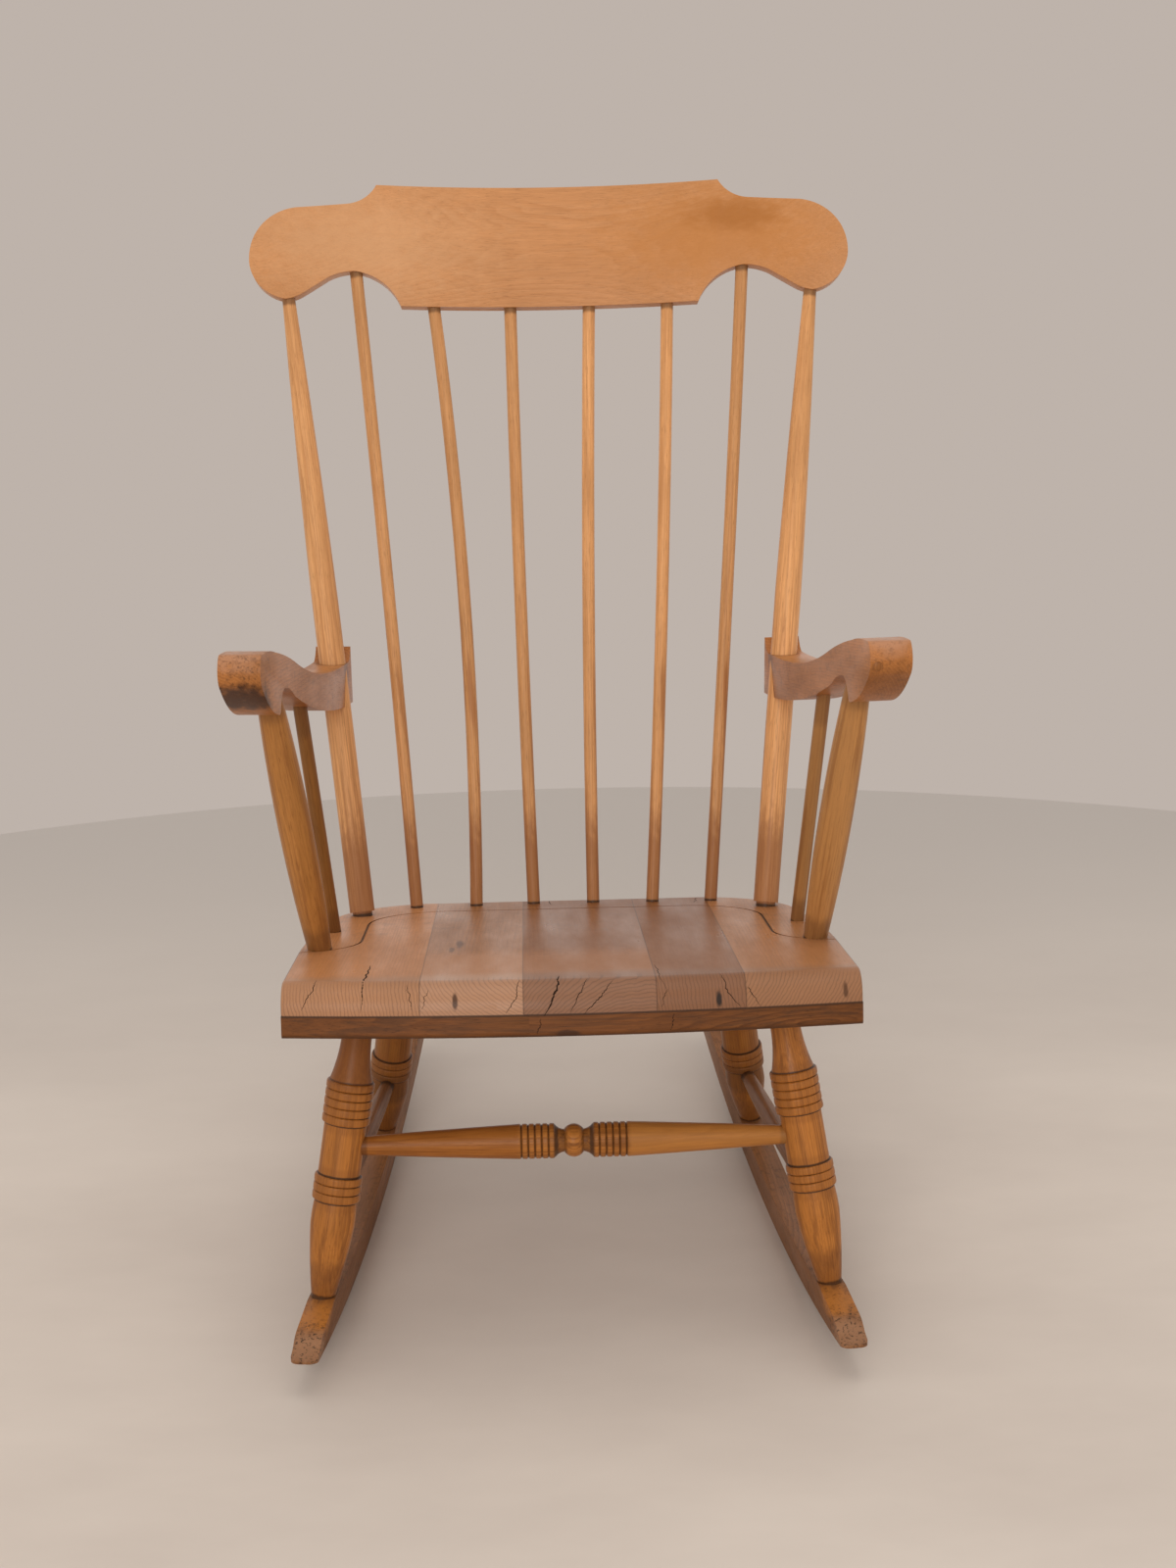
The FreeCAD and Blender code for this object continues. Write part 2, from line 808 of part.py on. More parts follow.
ARM_END = arm_end()
ARM_HOLLOW = (size("arm_hollow"), size("arm_hollow_height"))
ARM_RISE = (size("arm_rise"), ARM_HOLLOW[1] + size("arm_rise_height"))
ARM_CROWN = (size("arm_crown"), ARM_RISE[1] + size("arm_crown_height"))
ARM_ROLL = (size("arm_roll"), ARM_CROWN[1] + size("arm_roll_height"))
ARM_NOSE = (ARM_ROLL[0] - size("arm_nose"), ARM_ROLL[1] - size("arm_nose_drop"))
ARM_HOOK = (ARM_NOSE[0] + size("arm_hook"), ARM_NOSE[1] - size("arm_hook_drop"))
ARM_TIP = (ARM_HOOK[0] + size("arm_hook_tip"), ARM_HOOK[1] + size("arm_hook_tip_rise"))
ARM_NOTCH = (ARM_HOOK[0] + size("arm_notch"), ARM_HOOK[1] + size("arm_notch_rise"))
ARM_BELLY = (ARM_NOTCH[0] + size("arm_belly"), ARM_NOTCH[1] - size("arm_belly_drop"))
ARM_NOTCH_ARC = (ARM_NOTCH, ARM_BELLY, size("arm_belly_radius"), -1)
ARM_UNDER_ARC = (ARM_BELLY, (ARM_END, 0), size("arm_under_radius"), 1)


def arm_blank(side, sign):
    moves = [(ARM_END, size("arm_end_height")),
             (ARM_END - size("arm_lip"), size("arm_lip_height"), size("arm_lip_radius"), -1),
             ARM_HOLLOW + (size("arm_hollow_radius"), -1),
             ARM_RISE + (size("arm_rise_radius"), -1),
             ARM_CROWN + (size("arm_crown_radius"), 1),
             ARM_ROLL + (size("arm_roll_radius"), 1),
             ARM_NOSE + (size("arm_nose_radius"), 1),
             ARM_HOOK + (size("arm_hook_radius"), 1),
             ARM_TIP + (size("arm_hook_tip_radius"), 1),
             ARM_NOTCH + (size("arm_notch_radius"), -1),
             ARM_BELLY + (size("arm_belly_radius"), -1),
             (ARM_END, 0, size("arm_under_radius"), 1)]
    return sawn("arm_%s_blank" % side, "YZ_Plane", (ARM_END, 0), moves, size("arm_width"),
                arm_frame(sign))


# Turned supports under the front of the arms, and slim spindles behind them

def support_ends(sign):
    start, end, radius, turn = ARM_NOTCH_ARC
    behind = start[0].value + mm("support_behind_notch")
    top = Vector(0, behind, height_on_arc(start, end, radius, turn, behind))
    return (on_seat(in_from_side("support_inset") * sign, mm("support_seat")),
            arm_frame(sign).multVec(top))


def arm_support(side, sign):
    base, top = support_ends(sign)
    length = as_size(round((top - base).Length, 3))
    depth = size("seat_tenon")
    upper = length + size("arm_tenon")
    foot = size("support_foot_radius")
    wide = size("support_radius")
    thin = size("support_top_radius")
    swell = size("support_swell_along")
    straight = size("support_foot")
    neck = length - size("support_neck")
    moves = [(foot, -depth),
             (foot, straight),
             (wide, swell, belly(swell - straight, wide - foot), 1),
             (thin, neck, belly(neck - swell, wide - thin), 1),
             (thin, upper),
             (0, upper)]
    return turned("arm_support_%s" % side, (0, -depth), moves, along_axis(base, top))


def arm_spindle_ends(sign):
    start, end, radius, turn = ARM_UNDER_ARC
    behind = start[0].value + mm("arm_spindle_behind_belly")
    top = Vector(mm("arm_spindle_inset") * -sign, behind,
                 height_on_arc(start, end, radius, turn, behind))
    return (on_seat(in_from_side("arm_spindle_side") * sign, mm("arm_spindle_seat")),
            arm_frame(sign).multVec(top))


def arm_spindle(side, sign):
    base, top = arm_spindle_ends(sign)
    length = as_size(round((top - base).Length, 3)) + size("seat_tenon") + size("arm_tenon")
    return rod("arm_spindle_%s" % side, size("arm_spindle_radius"), length,
               along_axis(base, top, mm("seat_tenon")))


# The plug is a small round-headed peg in the front of the right arm's roll.

def plug_up():
    return ARM_NOSE[1].value + mm("plug_height")


def plug_front():
    """How far back the roll's face lies at the height of the plug."""
    roll = arc_between(flat(ARM_ROLL), flat(ARM_NOSE), mm("arm_nose_radius"), 1)
    reach = math.sqrt(roll.Radius ** 2 - (plug_up() - roll.Center.y) ** 2)
    return roll.Center.x - reach


def plug_frame():
    front = Vector(-mm("plug_inset"), plug_front() - mm("plug_proud"), plug_up())
    return arm_frame(1).multiply(Placement(front, Rotation(Vector(0, 0, 1), Vector(0, 1, 0))))


def arm_plug():
    radius = size("plug_radius")
    proud = size("plug_proud")
    moves = [(radius, proud, belly(radius, proud), 1),
             (radius, size("plug_depth")),
             (0, size("plug_depth"))]
    return turned("arm_plug", (0, 0), moves, plug_frame())


nodes["arm_plug"] = arm_plug()
plug_socket = rod("plug_socket", size("plug_radius") + FIT, size("plug_depth") + BLIND, plug_frame())


def arm_socket(name, ends, radius):
    """A blind bore in an arm, starting below the arm on the axis of the piece that enters it."""
    base, top = ends
    return rod(name, radius + FIT, size("arm_tenon") + BLIND + size("arm_bore_start"),
               along_axis(top, top + (top - base), mm("arm_bore_start")))


def post_bore(side, sign):
    """A bore for the post, right through the arm."""
    low = post_at(sign, ARM_HEIGHT - mm("arm_bore_start"))
    high = post_at(sign, ARM_HEIGHT + mm("arm_hollow_height") + mm("arm_bore_start"))
    return rod("arm_%s_post_bore" % side, size("post_radius") + FIT,
               as_size(round((high - low).Length, 3)), along_axis(low, high))


for side, sign in SIDES:
    nodes["back_post_%s" % side] = back_post(side, sign)
    nodes["arm_support_%s" % side] = arm_support(side, sign)
    nodes["arm_spindle_%s" % side] = arm_spindle(side, sign)
    tools = [post_bore(side, sign),
             arm_socket("arm_%s_support_socket" % side, support_ends(sign), size("support_top_radius")),
             arm_socket("arm_%s_spindle_socket" % side, arm_spindle_ends(sign),
                        size("arm_spindle_radius"))]
    if side == "right":
        tools.append(plug_socket)
    nodes["arm_%s" % side] = cut("arm_%s" % side, arm_blank(side, sign), tools)


# Back spindles
# Round rods with a slight bow to one side, each a short length of a very large ring.

def spindle_ends(place, sign):
    rise = mm("crest_notch") if place == "outer" else 0
    return (on_seat(mm(place + "_spindle_x") * sign, mm("seat_depth") - mm(place + "_spindle_back")),
            in_crest(mm(place + "_spindle_crest_x") * sign, rise))


def bowed_rod(name, place, sign, bow, radius, extra):
    """A spindle from end to end of its tenons, or the bore for it if it is made longer."""
    base, top = spindle_ends(place, sign)
    axis = (top - base).normalize()
    low = base - axis * mm("seat_tenon")
    high = top + axis * mm("crest_tenon")
    chord = as_size(round((high - low).Length, 3))
    depth = bow if bow.value > 0 else -bow
    ring = belly(chord / 2, depth)
    body = doc.addObject("PartDesign::Body", name)
    sketch = new_sketch(body, name + "_section", "XY_Plane")
    circle = Part.Circle(Vector(ring.value, 0, 0), Vector(0, 0, 1), radius.value)
    number = sketch.addGeometry(circle, False)
    bind(sketch, "Radius", (number,), radius)
    pin_point(sketch, number, 3, (ring, 0))
    bend = body.newObject("PartDesign::Revolution", name + "_bend")
    bend.Profile = sketch
    bend.ReferenceAxis = (sketch, ["V_Axis"])
    bend.Midplane = True
    bend.setExpression("Angle", ((chord + extra * 2) / ring * round(180 / math.pi, 6)).text)
    sketch.Visibility = False
    outward = Vector(1 if bow.value > 0 else -1, 0, 0)
    outward = (outward - axis * outward.dot(axis)).normalize()
    centre = (low + high) * 0.5 - outward * (ring.value - depth.value)
    body.Placement = Placement(centre, Rotation(outward, axis.cross(outward), axis, "ZXY"))
    return body


spindle_sockets = []
SPINDLES = (("outer", -1), ("middle", -1), ("inner", -1), ("inner", 1), ("middle", 1), ("outer", 1))
for number, (place, sign) in enumerate(SPINDLES, start=1):
    name = "spindle_%d" % number
    bow = size("spindle_bow_%d" % number)
    nodes[name] = bowed_rod(name, place, sign, bow, size("spindle_radius"), as_size(0))
    spindle_sockets.append(bowed_rod(name + "_socket", place, sign, bow, size("spindle_radius") + FIT, BLIND))


# Crest rail
# A board bent in plan round the sitter's back, sawn to its outline and bored from below.

def crest_rail():
    bend = size("crest_bend")
    back = bend + size("crest_board")
    reach = size("crest_ear_side_x") + MARGIN

    def inset(radius):
        return root(radius * radius - reach * reach) - bend

    band = sawn("crest_band", "XY_Plane", (-reach, inset(bend)),
                [(reach, inset(bend), bend, -1),
                 (reach, inset(back)),
                 (-reach, inset(back), back, 1)],
                (size("crest_height") + MARGIN) * 2, CREST_FRAME)
    start = (size("crest_low_x"), 0)
    half = [(size("crest_notch_x"), size("crest_notch"), size("crest_notch_radius"), -1),
            (size("crest_slope_x"), size("crest_slope"), size("crest_slope_radius"), -1),
            (size("crest_ear_x"), size("crest_ear")),
            (size("crest_ear_low_x"), size("crest_ear_low"), size("crest_ear_low_radius"), 1),
            (size("crest_ear_side_x"), size("crest_ear_side"), size("crest_ear_side_radius"), 1),
            (size("crest_ear_top_x"), size("crest_ear_top"), size("crest_ear_top_radius"), 1),
            (size("crest_cove_x"), size("crest_cove")),
            (size("crest_top_x"), size("crest_height"), size("crest_cove_radius"), -1)]
    other = reflected(start, half, across_middle)
    face = sawn("crest_face", "XZ_Plane", (-size("crest_low_x"), 0),
                [start] + half + [(-size("crest_top_x"), size("crest_height"))] + other,
                (size("crest_board") - inset(bend) + MARGIN) * 2, CREST_FRAME)
    board = doc.addObject("Part::Common", "crest_board")
    board.Base = band
    board.Tool = face
    sockets = list(spindle_sockets)
    for side, sign in SIDES:
        base, top = post_ends(sign)
        sockets.append(rod("crest_post_socket_%s" % side, size("post_top_radius") + FIT,
                           size("crest_tenon") + BLIND + MARGIN,
                           along_axis(top, top + (top - base), MARGIN.value)))
    return cut("crest_rail", board, sockets)


nodes["crest_rail"] = crest_rail()


# Seat
# One board outline with a rolled front edge, cut into staves that run from front to back.
# A lower strip of three blocks thickens the front, and a groove frames the sitting area.

SEAT_HALF = size("seat_half")
FRONT_HALF = SEAT_HALF - size("seat_front_taper")
REAR_HALF = SEAT_HALF - size("seat_rear_taper")
FRONT_RADIUS = belly(FRONT_HALF, size("seat_front_bow"))


def seat_board():
    right = [(SEAT_HALF, size("seat_side_end")),
             (SEAT_HALF - size("seat_curve_taper"), size("seat_depth") - size("seat_curve_back"),
              size("seat_curve_radius"), 1),
             (REAR_HALF, size("seat_depth"), size("seat_corner_radius"), 1)]
    left = reflected((FRONT_HALF, 0), right, across_middle)
    body = doc.addObject("PartDesign::Body", "seat_board")
    plan = new_sketch(body, "seat_plan", "XY_Plane")
    outline(plan, (-FRONT_HALF, 0), [(FRONT_HALF, 0, FRONT_RADIUS, 1)] + right
            + [(-REAR_HALF, size("seat_depth"))] + left)
    pad = body.newObject("PartDesign::Pad", "seat_thickness")
    pad.Profile = plan
    pad.Reversed = True
    pad.setExpression("Length", "Sizes.seat_board")
    plan.Visibility = False
    rounded(body, "seat_front_roll",
            lambda edge: edge.BoundBox.YMax < TOUCHING and edge.BoundBox.ZMin > -TOUCHING,
            "seat_front_round")
    behind_roll = mm("seat_front_round") + MARGIN.value
    rounded(body, "seat_top_edge",
            lambda edge: edge.BoundBox.ZMin > -TOUCHING and edge.BoundBox.YMax > behind_roll,
            "seat_edge_round")
    body.Placement = SEAT_FRAME
    return body


def groove_side_of(name, inset, overrun):
    """The sitting area, with its edge this far inside the groove's outer edge."""
    out = SEAT_HALF + overrun
    front = -(size("seat_front_bow") + overrun)
    half = SEAT_HALF - size("groove_side_inset") - inset
    back = size("seat_depth") - size("groove_back") - inset
    side = size("groove_side") - inset
    flare = size("groove_flare") + inset
    corner = size("groove_corner") - inset
    right = [(half + flare, side),
             (half, side + flare, flare, -1),
             (half, back - corner),
             (half - corner, back, corner, 1)]
    left = reflected((out, side), right, across_middle)
    return sawn(name, "XY_Plane", (-out, front),
                [(out, front), (out, side)] + right + [(corner - half, back)] + left,
                size("groove_depth") * 2, SEAT_FRAME)


groove_cutter = cut("groove_cutter", groove_side_of("groove_outside", as_size(0), MARGIN),
                    [groove_side_of("groove_inside", size("groove_width"), MARGIN * 2)])


def seat_sockets():
    tools = list(spindle_sockets)
    deep = size("seat_tenon") + BLIND + MARGIN
    for side, sign in SIDES:
        for label, ends, radius in (("post", post_ends(sign), size("post_tenon_radius")),
                                    ("support", support_ends(sign), size("support_foot_radius")),
                                    ("arm_spindle", arm_spindle_ends(sign), size("arm_spindle_radius"))):
            base, top = ends
            tools.append(rod("seat_%s_socket_%s" % (label, side), radius + FIT, deep,
                             along_axis(base, top, mm("seat_tenon") + mm("blind_gap"))))
        for end in ("front", "rear"):
            foot, socket = leg_ends(end, sign)
            tools.append(rod("seat_%s_leg_socket_%s" % (end, side), size("leg_top_radius") + FIT,
                             size("leg_socket_depth") + BLIND + MARGIN,
                             along_axis(socket, socket + (socket - foot), MARGIN.value)))
    return tools


def slices(name, source, joints, edge, low, high, front, back):
    """Cut a piece into strips side by side, at joints that run from front to back."""
    places = [-edge] + joints + [edge]
    for number, (start, end) in enumerate(zip(places, places[1:]), start=1):
        box = doc.addObject("Part::Box", "%s_%d_box" % (name, number))
        box.setExpression("Length", (end - start).text)
        box.setExpression("Width", (back - front).text)
        box.setExpression("Height", (high - low).text)
        corner = Placement(Vector(start.value, front.value, low.value), Rotation())
        box.Placement = SEAT_FRAME.multiply(corner)
        strip = doc.addObject("Part::Common", "%s_%d" % (name, number))
        strip.Base = source
        strip.Tool = box
        nodes["%s_%d" % (name, number)] = strip


seat_bored = cut("seat_bored", seat_board(), seat_sockets() + [groove_cutter])
slices("seat_stave", seat_bored, [size("stave_joint_%d" % number) for number in range(1, 5)],
       SEAT_HALF + MARGIN, -size("seat_board") - MARGIN, MARGIN,
       -size("seat_front_bow") - MARGIN, size("seat_depth") + MARGIN)


def front_strip():
    depth = size("block_depth")
    body = doc.addObject("PartDesign::Body", "front_strip")
    plan = new_sketch(body, "strip_plan", "XY_Plane")
    outline(plan, (-FRONT_HALF, 0),
            [(FRONT_HALF, 0, FRONT_RADIUS, 1), (FRONT_HALF, depth), (-FRONT_HALF, depth)])
    pad = body.newObject("PartDesign::Pad", "strip_height")
    pad.Profile = plan
    pad.Reversed = True
    pad.setExpression("Length", "Sizes.block_height")
    plan.Visibility = False
    bottom = -mm("block_height") + TOUCHING
    rounded(body, "strip_front_edge",
            lambda edge: edge.BoundBox.YMax < TOUCHING and edge.BoundBox.ZMax < bottom, "block_round")
    body.Placement = SEAT_FRAME.multiply(Placement(Vector(0, 0, -mm("seat_board")), Rotation()))
    return body


slices("front_block", front_strip(), [size("block_joint_1"), size("block_joint_2")],
       SEAT_HALF + MARGIN, -size("seat_board") - size("block_height") - MARGIN,
       -size("seat_board") + MARGIN, -size("seat_front_bow") - MARGIN, size("block_depth") + MARGIN)


# Check every object, then write one file for each piece

doc.recompute()

faults = []
for thing in doc.Objects:
    shape = getattr(thing, "Shape", None)
    if "Invalid" in thing.State or "Error" in thing.State:
        faults.append("%s did not compute" % thing.Label)
    elif shape is not None and (shape.isNull() or not shape.isValid()):
        faults.append("%s has no sound shape" % thing.Label)
for piece, base in lighter:
    if not faults and piece.Shape.Volume > base.Shape.Volume - 1:
        faults.append("%s took nothing away" % piece.Label)
if faults:
    raise RuntimeError("; ".join(faults))

for name in sorted(nodes):
    piece = nodes[name]
    piece.Label = name
    if len(piece.Shape.Solids) != 1:
        raise RuntimeError("%s has %d solids" % (name, len(piece.Shape.Solids)))
    piece.Shape.exportStep("parts/%s.step" % name)
    print("%-22s %9.1f cm3" % (name, piece.Shape.Volume / 1000))

print("%d pieces" % len(nodes))
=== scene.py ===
# %% [markdown]
# A wooden rocking chair, finished in Blender.
# The chair's solids come from the workshop drawing and are already the right shape and size.
# This lesson gives each piece its timber and finish, softens the sawn edges, opens the cracks
# in the old seat, and then sets up the room, the light and the camera.
# Everything is in metres: X to the right, Y to the back, Z up.

# %% Load the chair
import math
import random

import bmesh
import bpy
from mathutils import Matrix, Vector
from mathutils.bvhtree import BVHTree


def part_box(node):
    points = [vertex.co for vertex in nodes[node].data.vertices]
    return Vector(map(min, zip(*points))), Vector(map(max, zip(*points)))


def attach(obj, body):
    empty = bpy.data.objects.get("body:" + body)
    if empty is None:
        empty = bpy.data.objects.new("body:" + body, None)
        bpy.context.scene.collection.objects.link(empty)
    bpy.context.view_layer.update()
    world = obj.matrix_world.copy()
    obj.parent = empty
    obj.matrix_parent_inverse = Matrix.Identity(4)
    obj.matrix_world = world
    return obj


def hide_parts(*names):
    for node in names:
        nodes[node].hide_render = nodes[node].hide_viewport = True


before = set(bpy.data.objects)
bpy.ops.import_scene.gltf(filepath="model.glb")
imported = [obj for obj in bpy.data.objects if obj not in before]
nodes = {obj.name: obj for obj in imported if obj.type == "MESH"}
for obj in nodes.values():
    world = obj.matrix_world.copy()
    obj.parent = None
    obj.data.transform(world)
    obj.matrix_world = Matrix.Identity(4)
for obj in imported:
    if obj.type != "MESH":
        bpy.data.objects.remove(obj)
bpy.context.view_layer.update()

print("pieces:", len(nodes))

# %% [markdown]
# Wood looks right when its figure goes through the whole piece, as it does in a real plank.
# So every finish here is a solid one. It is worked out from the place inside the piece, not from
# a picture wrapped round it, and end grain shows up by itself where a board is cut across.
# For that each piece needs its own frame, with X along the grain. The pieces turned on a lathe
# are longest along the grain, so the longest direction of the mesh is found with a little algebra:
# a vector that is multiplied again and again by the spread of the points turns towards it.

# %% Frames that follow the grain
MM = 0.001
TURNS = 40


def long_direction(node):
    """The direction in which a piece's points spread most, pointing up or to the back."""
    points = [vertex.co for vertex in nodes[node].data.vertices]
    middle = sum(points, Vector()) / len(points)
    direction = Vector((0.01, 1, 1))
    for _ in range(TURNS):
        total = Vector()
        for point in points:
            arm = point - middle
            total += arm * arm.dot(direction)
        direction = total.normalized()
    return middle, direction


def grain_frame(origin, along, up):
    """A frame at a point, with X along the grain and Z as near to up as it can be."""
    x = Vector(along).normalized()
    y = Vector(up).cross(x).normalized()
    z = x.cross(y)
    turn = Matrix((x, y, z)).transposed().to_4x4()
    return Matrix.Translation(Vector(origin)) @ turn


def turned_frame(node):
    """The frame of a piece from the lathe, starting at its lower end."""
    middle, direction = long_direction(node)
    if direction.z < 0 and abs(direction.z) > 0.3:
        direction = -direction
    reach = [(vertex.co - middle).dot(direction) for vertex in nodes[node].data.vertices]
    start = middle + direction * min(reach)
    return grain_frame(start, direction, (0, -1, 0.2)), max(reach) - min(reach)


for name in ("front_leg_left", "back_post_left", "spindle_3"):
    print(name, "is", round(turned_frame(name)[1], 3), "long")

# %% [markdown]
# A shader is a small machine of nodes and wires. Written out in full it takes pages, so this cell
# makes a helper that adds one node, fills in its sockets and returns what comes out of it.
# Sums on numbers are Math nodes. Places use Vector Math nodes, and stains use Mix nodes.

# %% A short way to write shader nodes
class Shader:
    def __init__(self, name):
        self.material = bpy.data.materials.new(name)
        self.material.use_nodes = True
        self.tree = self.material.node_tree
        self.tree.nodes.clear()

    def add(self, kind, out=0, settings=None, **sockets):
        node = self.tree.nodes.new("ShaderNode" + kind)
        for key, value in (settings or {}).items():
            setattr(node, key, value)
        for key, value in sockets.items():
            self.feed(node.inputs[key.replace("_", " ")], value)
        return node.outputs[out]

    def feed(self, socket, value):
        if isinstance(value, bpy.types.NodeSocket):
            self.tree.links.new(value, socket)
        elif socket.type == "RGBA":
            socket.default_value = (*value, 1)
        else:
            socket.default_value = value

    def math(self, operation, first, second=0.0):
        node = self.tree.nodes.new("ShaderNodeMath")
        node.operation = operation
        self.feed(node.inputs[0], first)
        self.feed(node.inputs[1], second)
        return node.outputs[0]

    def vector(self, operation, first, second=(0, 0, 0), out=0):
        node = self.tree.nodes.new("ShaderNodeVectorMath")
        node.operation = operation
        self.feed(node.inputs[0], first)
        self.feed(node.inputs[1], second)
        return node.outputs[out]

    def scaled(self, vector, factor):
        node = self.tree.nodes.new("ShaderNodeVectorMath")
        node.operation = "SCALE"
        self.feed(node.inputs[0], vector)
        self.feed(node.inputs["Scale"], factor)
        return node.outputs[0]

    def mix(self, factor, first, second, blend="MIX"):
        node = self.tree.nodes.new("ShaderNodeMix")
        node.data_type = "RGBA"
        node.blend_type = blend
        self.feed(node.inputs[0], factor)
        self.feed(node.inputs[6], first)
        self.feed(node.inputs[7], second)
        return node.outputs[2]

    def ramp(self, value, stops):
        node = self.tree.nodes.new("ShaderNodeValToRGB")
        bar = node.color_ramp
        while len(bar.elements) < len(stops):
            bar.elements.new(0.5)
        for element, (place, colour) in zip(bar.elements, stops):
            element.position = place
            element.color = (*colour, 1)
        self.feed(node.inputs[0], value)
        return node.outputs[0]

    def fade(self, value, start, end):
        """A smooth step from 0 where the value is at start to 1 where it is at end."""
        kind = {"interpolation_type": "SMOOTHSTEP"}
        low, high = (start, end) if start < end else (end, start)
        rise = self.add("MapRange", 0, kind, Value=value, From_Min=low, From_Max=high)
        return rise if start < end else self.math("SUBTRACT", 1.0, rise)

    def inside(self, value, low, high, soft):
        """1 where a value lies between two others, fading out over a soft edge."""
        after = self.fade(value, low - soft, low)
        before = self.fade(value, high + soft, high)
        return self.math("MULTIPLY", after, before)

    def noise(self, vector, stretch, detail=2.0, roughness=0.5, out=0):
        """Clouds, drawn out by so many per metre along, across and through the grain."""
        place = self.add("Mapping", 0, None, Vector=vector, Scale=stretch)
        return self.add("TexNoise", out, None, Vector=place, Scale=1.0, Detail=detail,
                        Roughness=roughness)

    def finish(self, colour, roughness, bump, **gloss):
        node = self.tree.nodes.new("ShaderNodeBsdfPrincipled")
        self.feed(node.inputs["Base Color"], colour)
        self.feed(node.inputs["Roughness"], roughness)
        if bump is not None:
            self.feed(node.inputs["Normal"], bump)
        for key, value in gloss.items():
            node.inputs[key.replace("_", " ")].default_value = value
        target = self.tree.nodes.new("ShaderNodeOutputMaterial")
        self.tree.links.new(node.outputs[0], target.inputs["Surface"])
        return self.material


print("the shader helper is ready")

# %% [markdown]
# Now the timber itself. A tree grows in rings round its pith, so the distance from a pith line
# that lies somewhere outside the piece gives the figure. Where that line leans a little against
# the board, the rings are cut on the slant and draw the pointed arches of a flat-sawn board.
# Four finer layers go over them: a slow drift, so that no line is straight, long fibres, short dark
# pores, and the cloudy unevenness of an old varnish. The same layers give the bump and the gloss.

# %% The timber
PORE_SHADE = 0.55
VARNISH = {"Specular_IOR_Level": 0.15, "Coat_Weight": 0.04, "Coat_Roughness": 0.30}


class Timber:
    """One finish: its three colours, and how strong each layer of its figure is."""

    def __init__(self, slot, light, middle, dark, ring=3.2, ring_show=1.0, fibre=0.16, pores=0.35,
                 cloud=0.22, gloss=(0.34, 0.52), drift=5.0):
        self.slot = slot
        self.colours = (light, middle, dark)
        self.ring = ring * MM
        self.ring_show = ring_show
        self.fibre = fibre
        self.pores = pores
        self.cloud = cloud
        self.gloss = gloss
        self.drift = drift * MM


def wood(name, timber, grain, pith, lean=(0.0, 0.0), shade=1.0, marks=()):
    """A solid wood material in a grain frame, with extra marks laid over it one by one."""
    make = Shader(name)
    turn = grain.to_3x3().transposed()
    place = make.add("TexCoord", "Object")
    local = make.add("Mapping", 0, None, Vector=place, Location=-(turn @ grain.translation),
                     Rotation=turn.to_euler())
    random.seed(name)
    shift = Vector([random.uniform(-3, 3) for _ in range(3)])
    own = make.vector("ADD", local, shift)

    slow = make.noise(own, (2.5, 14, 14), detail=3, out=1)
    slow = make.scaled(make.vector("SUBTRACT", slow, (0.5, 0.5, 0.5)), timber.drift)
    quick = make.noise(own, (6, 85, 85), detail=2, out=1)
    quick = make.scaled(make.vector("SUBTRACT", quick, (0.5, 0.5, 0.5)), timber.ring * 1.5)
    wavy = make.vector("ADD", local, make.vector("ADD", slow, quick))
    heart = make.add("Mapping", 0, None, Vector=wavy, Location=(0, -pith[0] * MM, -pith[1] * MM),
                     Rotation=(0, lean[0], lean[1]))
    saw_rings = {"wave_type": "RINGS", "rings_direction": "X", "wave_profile": "SAW"}
    rings = make.add("TexWave", 1, saw_rings, Vector=heart, Scale=math.pi / 10 / timber.ring,
                     Distortion=0.0)
    light, middle, dark = [tuple(part * shade for part in colour) for colour in timber.colours]
    figure = make.ramp(rings, [(0.0, light), (0.55, middle), (0.9, dark), (1.0, light)])
    strong = make.noise(own, (3, 26, 26), detail=3)
    strong = make.math("MULTIPLY", make.fade(strong, 0.30, 0.68), timber.ring_show)
    colour = make.mix(strong, middle, figure)
    make.rings = rings

    fibres = make.noise(own, (16, 620, 620), detail=4, roughness=0.65)
    spread = make.add("MapRange", 0, None, Value=fibres, From_Min=0.3, From_Max=0.7,
                      To_Min=1 - timber.fibre, To_Max=1 + timber.fibre)
    colour = make.scaled(colour, spread)
    clouds = make.noise(own, (5, 17, 17), detail=4, roughness=0.6)
    uneven = make.add("MapRange", 0, None, Value=clouds, From_Min=0.3, From_Max=0.7,
                      To_Min=1 - timber.cloud, To_Max=1 + timber.cloud * 0.7)
    colour = make.scaled(colour, uneven)
    ticks = make.noise(own, (70, 1500, 1500), detail=1)
    ticks = make.math("MULTIPLY", make.fade(ticks, 0.60, 0.72), timber.pores)
    colour = make.mix(ticks, colour, tuple(part * PORE_SHADE for part in dark))
    for mark in marks:
        colour = mark(make, place, local, colour)

    height = make.math("MULTIPLY", fibres, 0.6)
    height = make.math("ADD", height, make.math("MULTIPLY", rings, -0.12))
    height = make.math("SUBTRACT", height, ticks)
    bump = make.add("Bump", 0, None, Height=height, Strength=0.35, Distance=0.0004)
    rough = make.add("MapRange", 0, None, Value=clouds, From_Min=0.3, From_Max=0.7,
                     To_Min=timber.gloss[1], To_Max=timber.gloss[0])
    return make.finish(colour, rough, bump, **VARNISH)


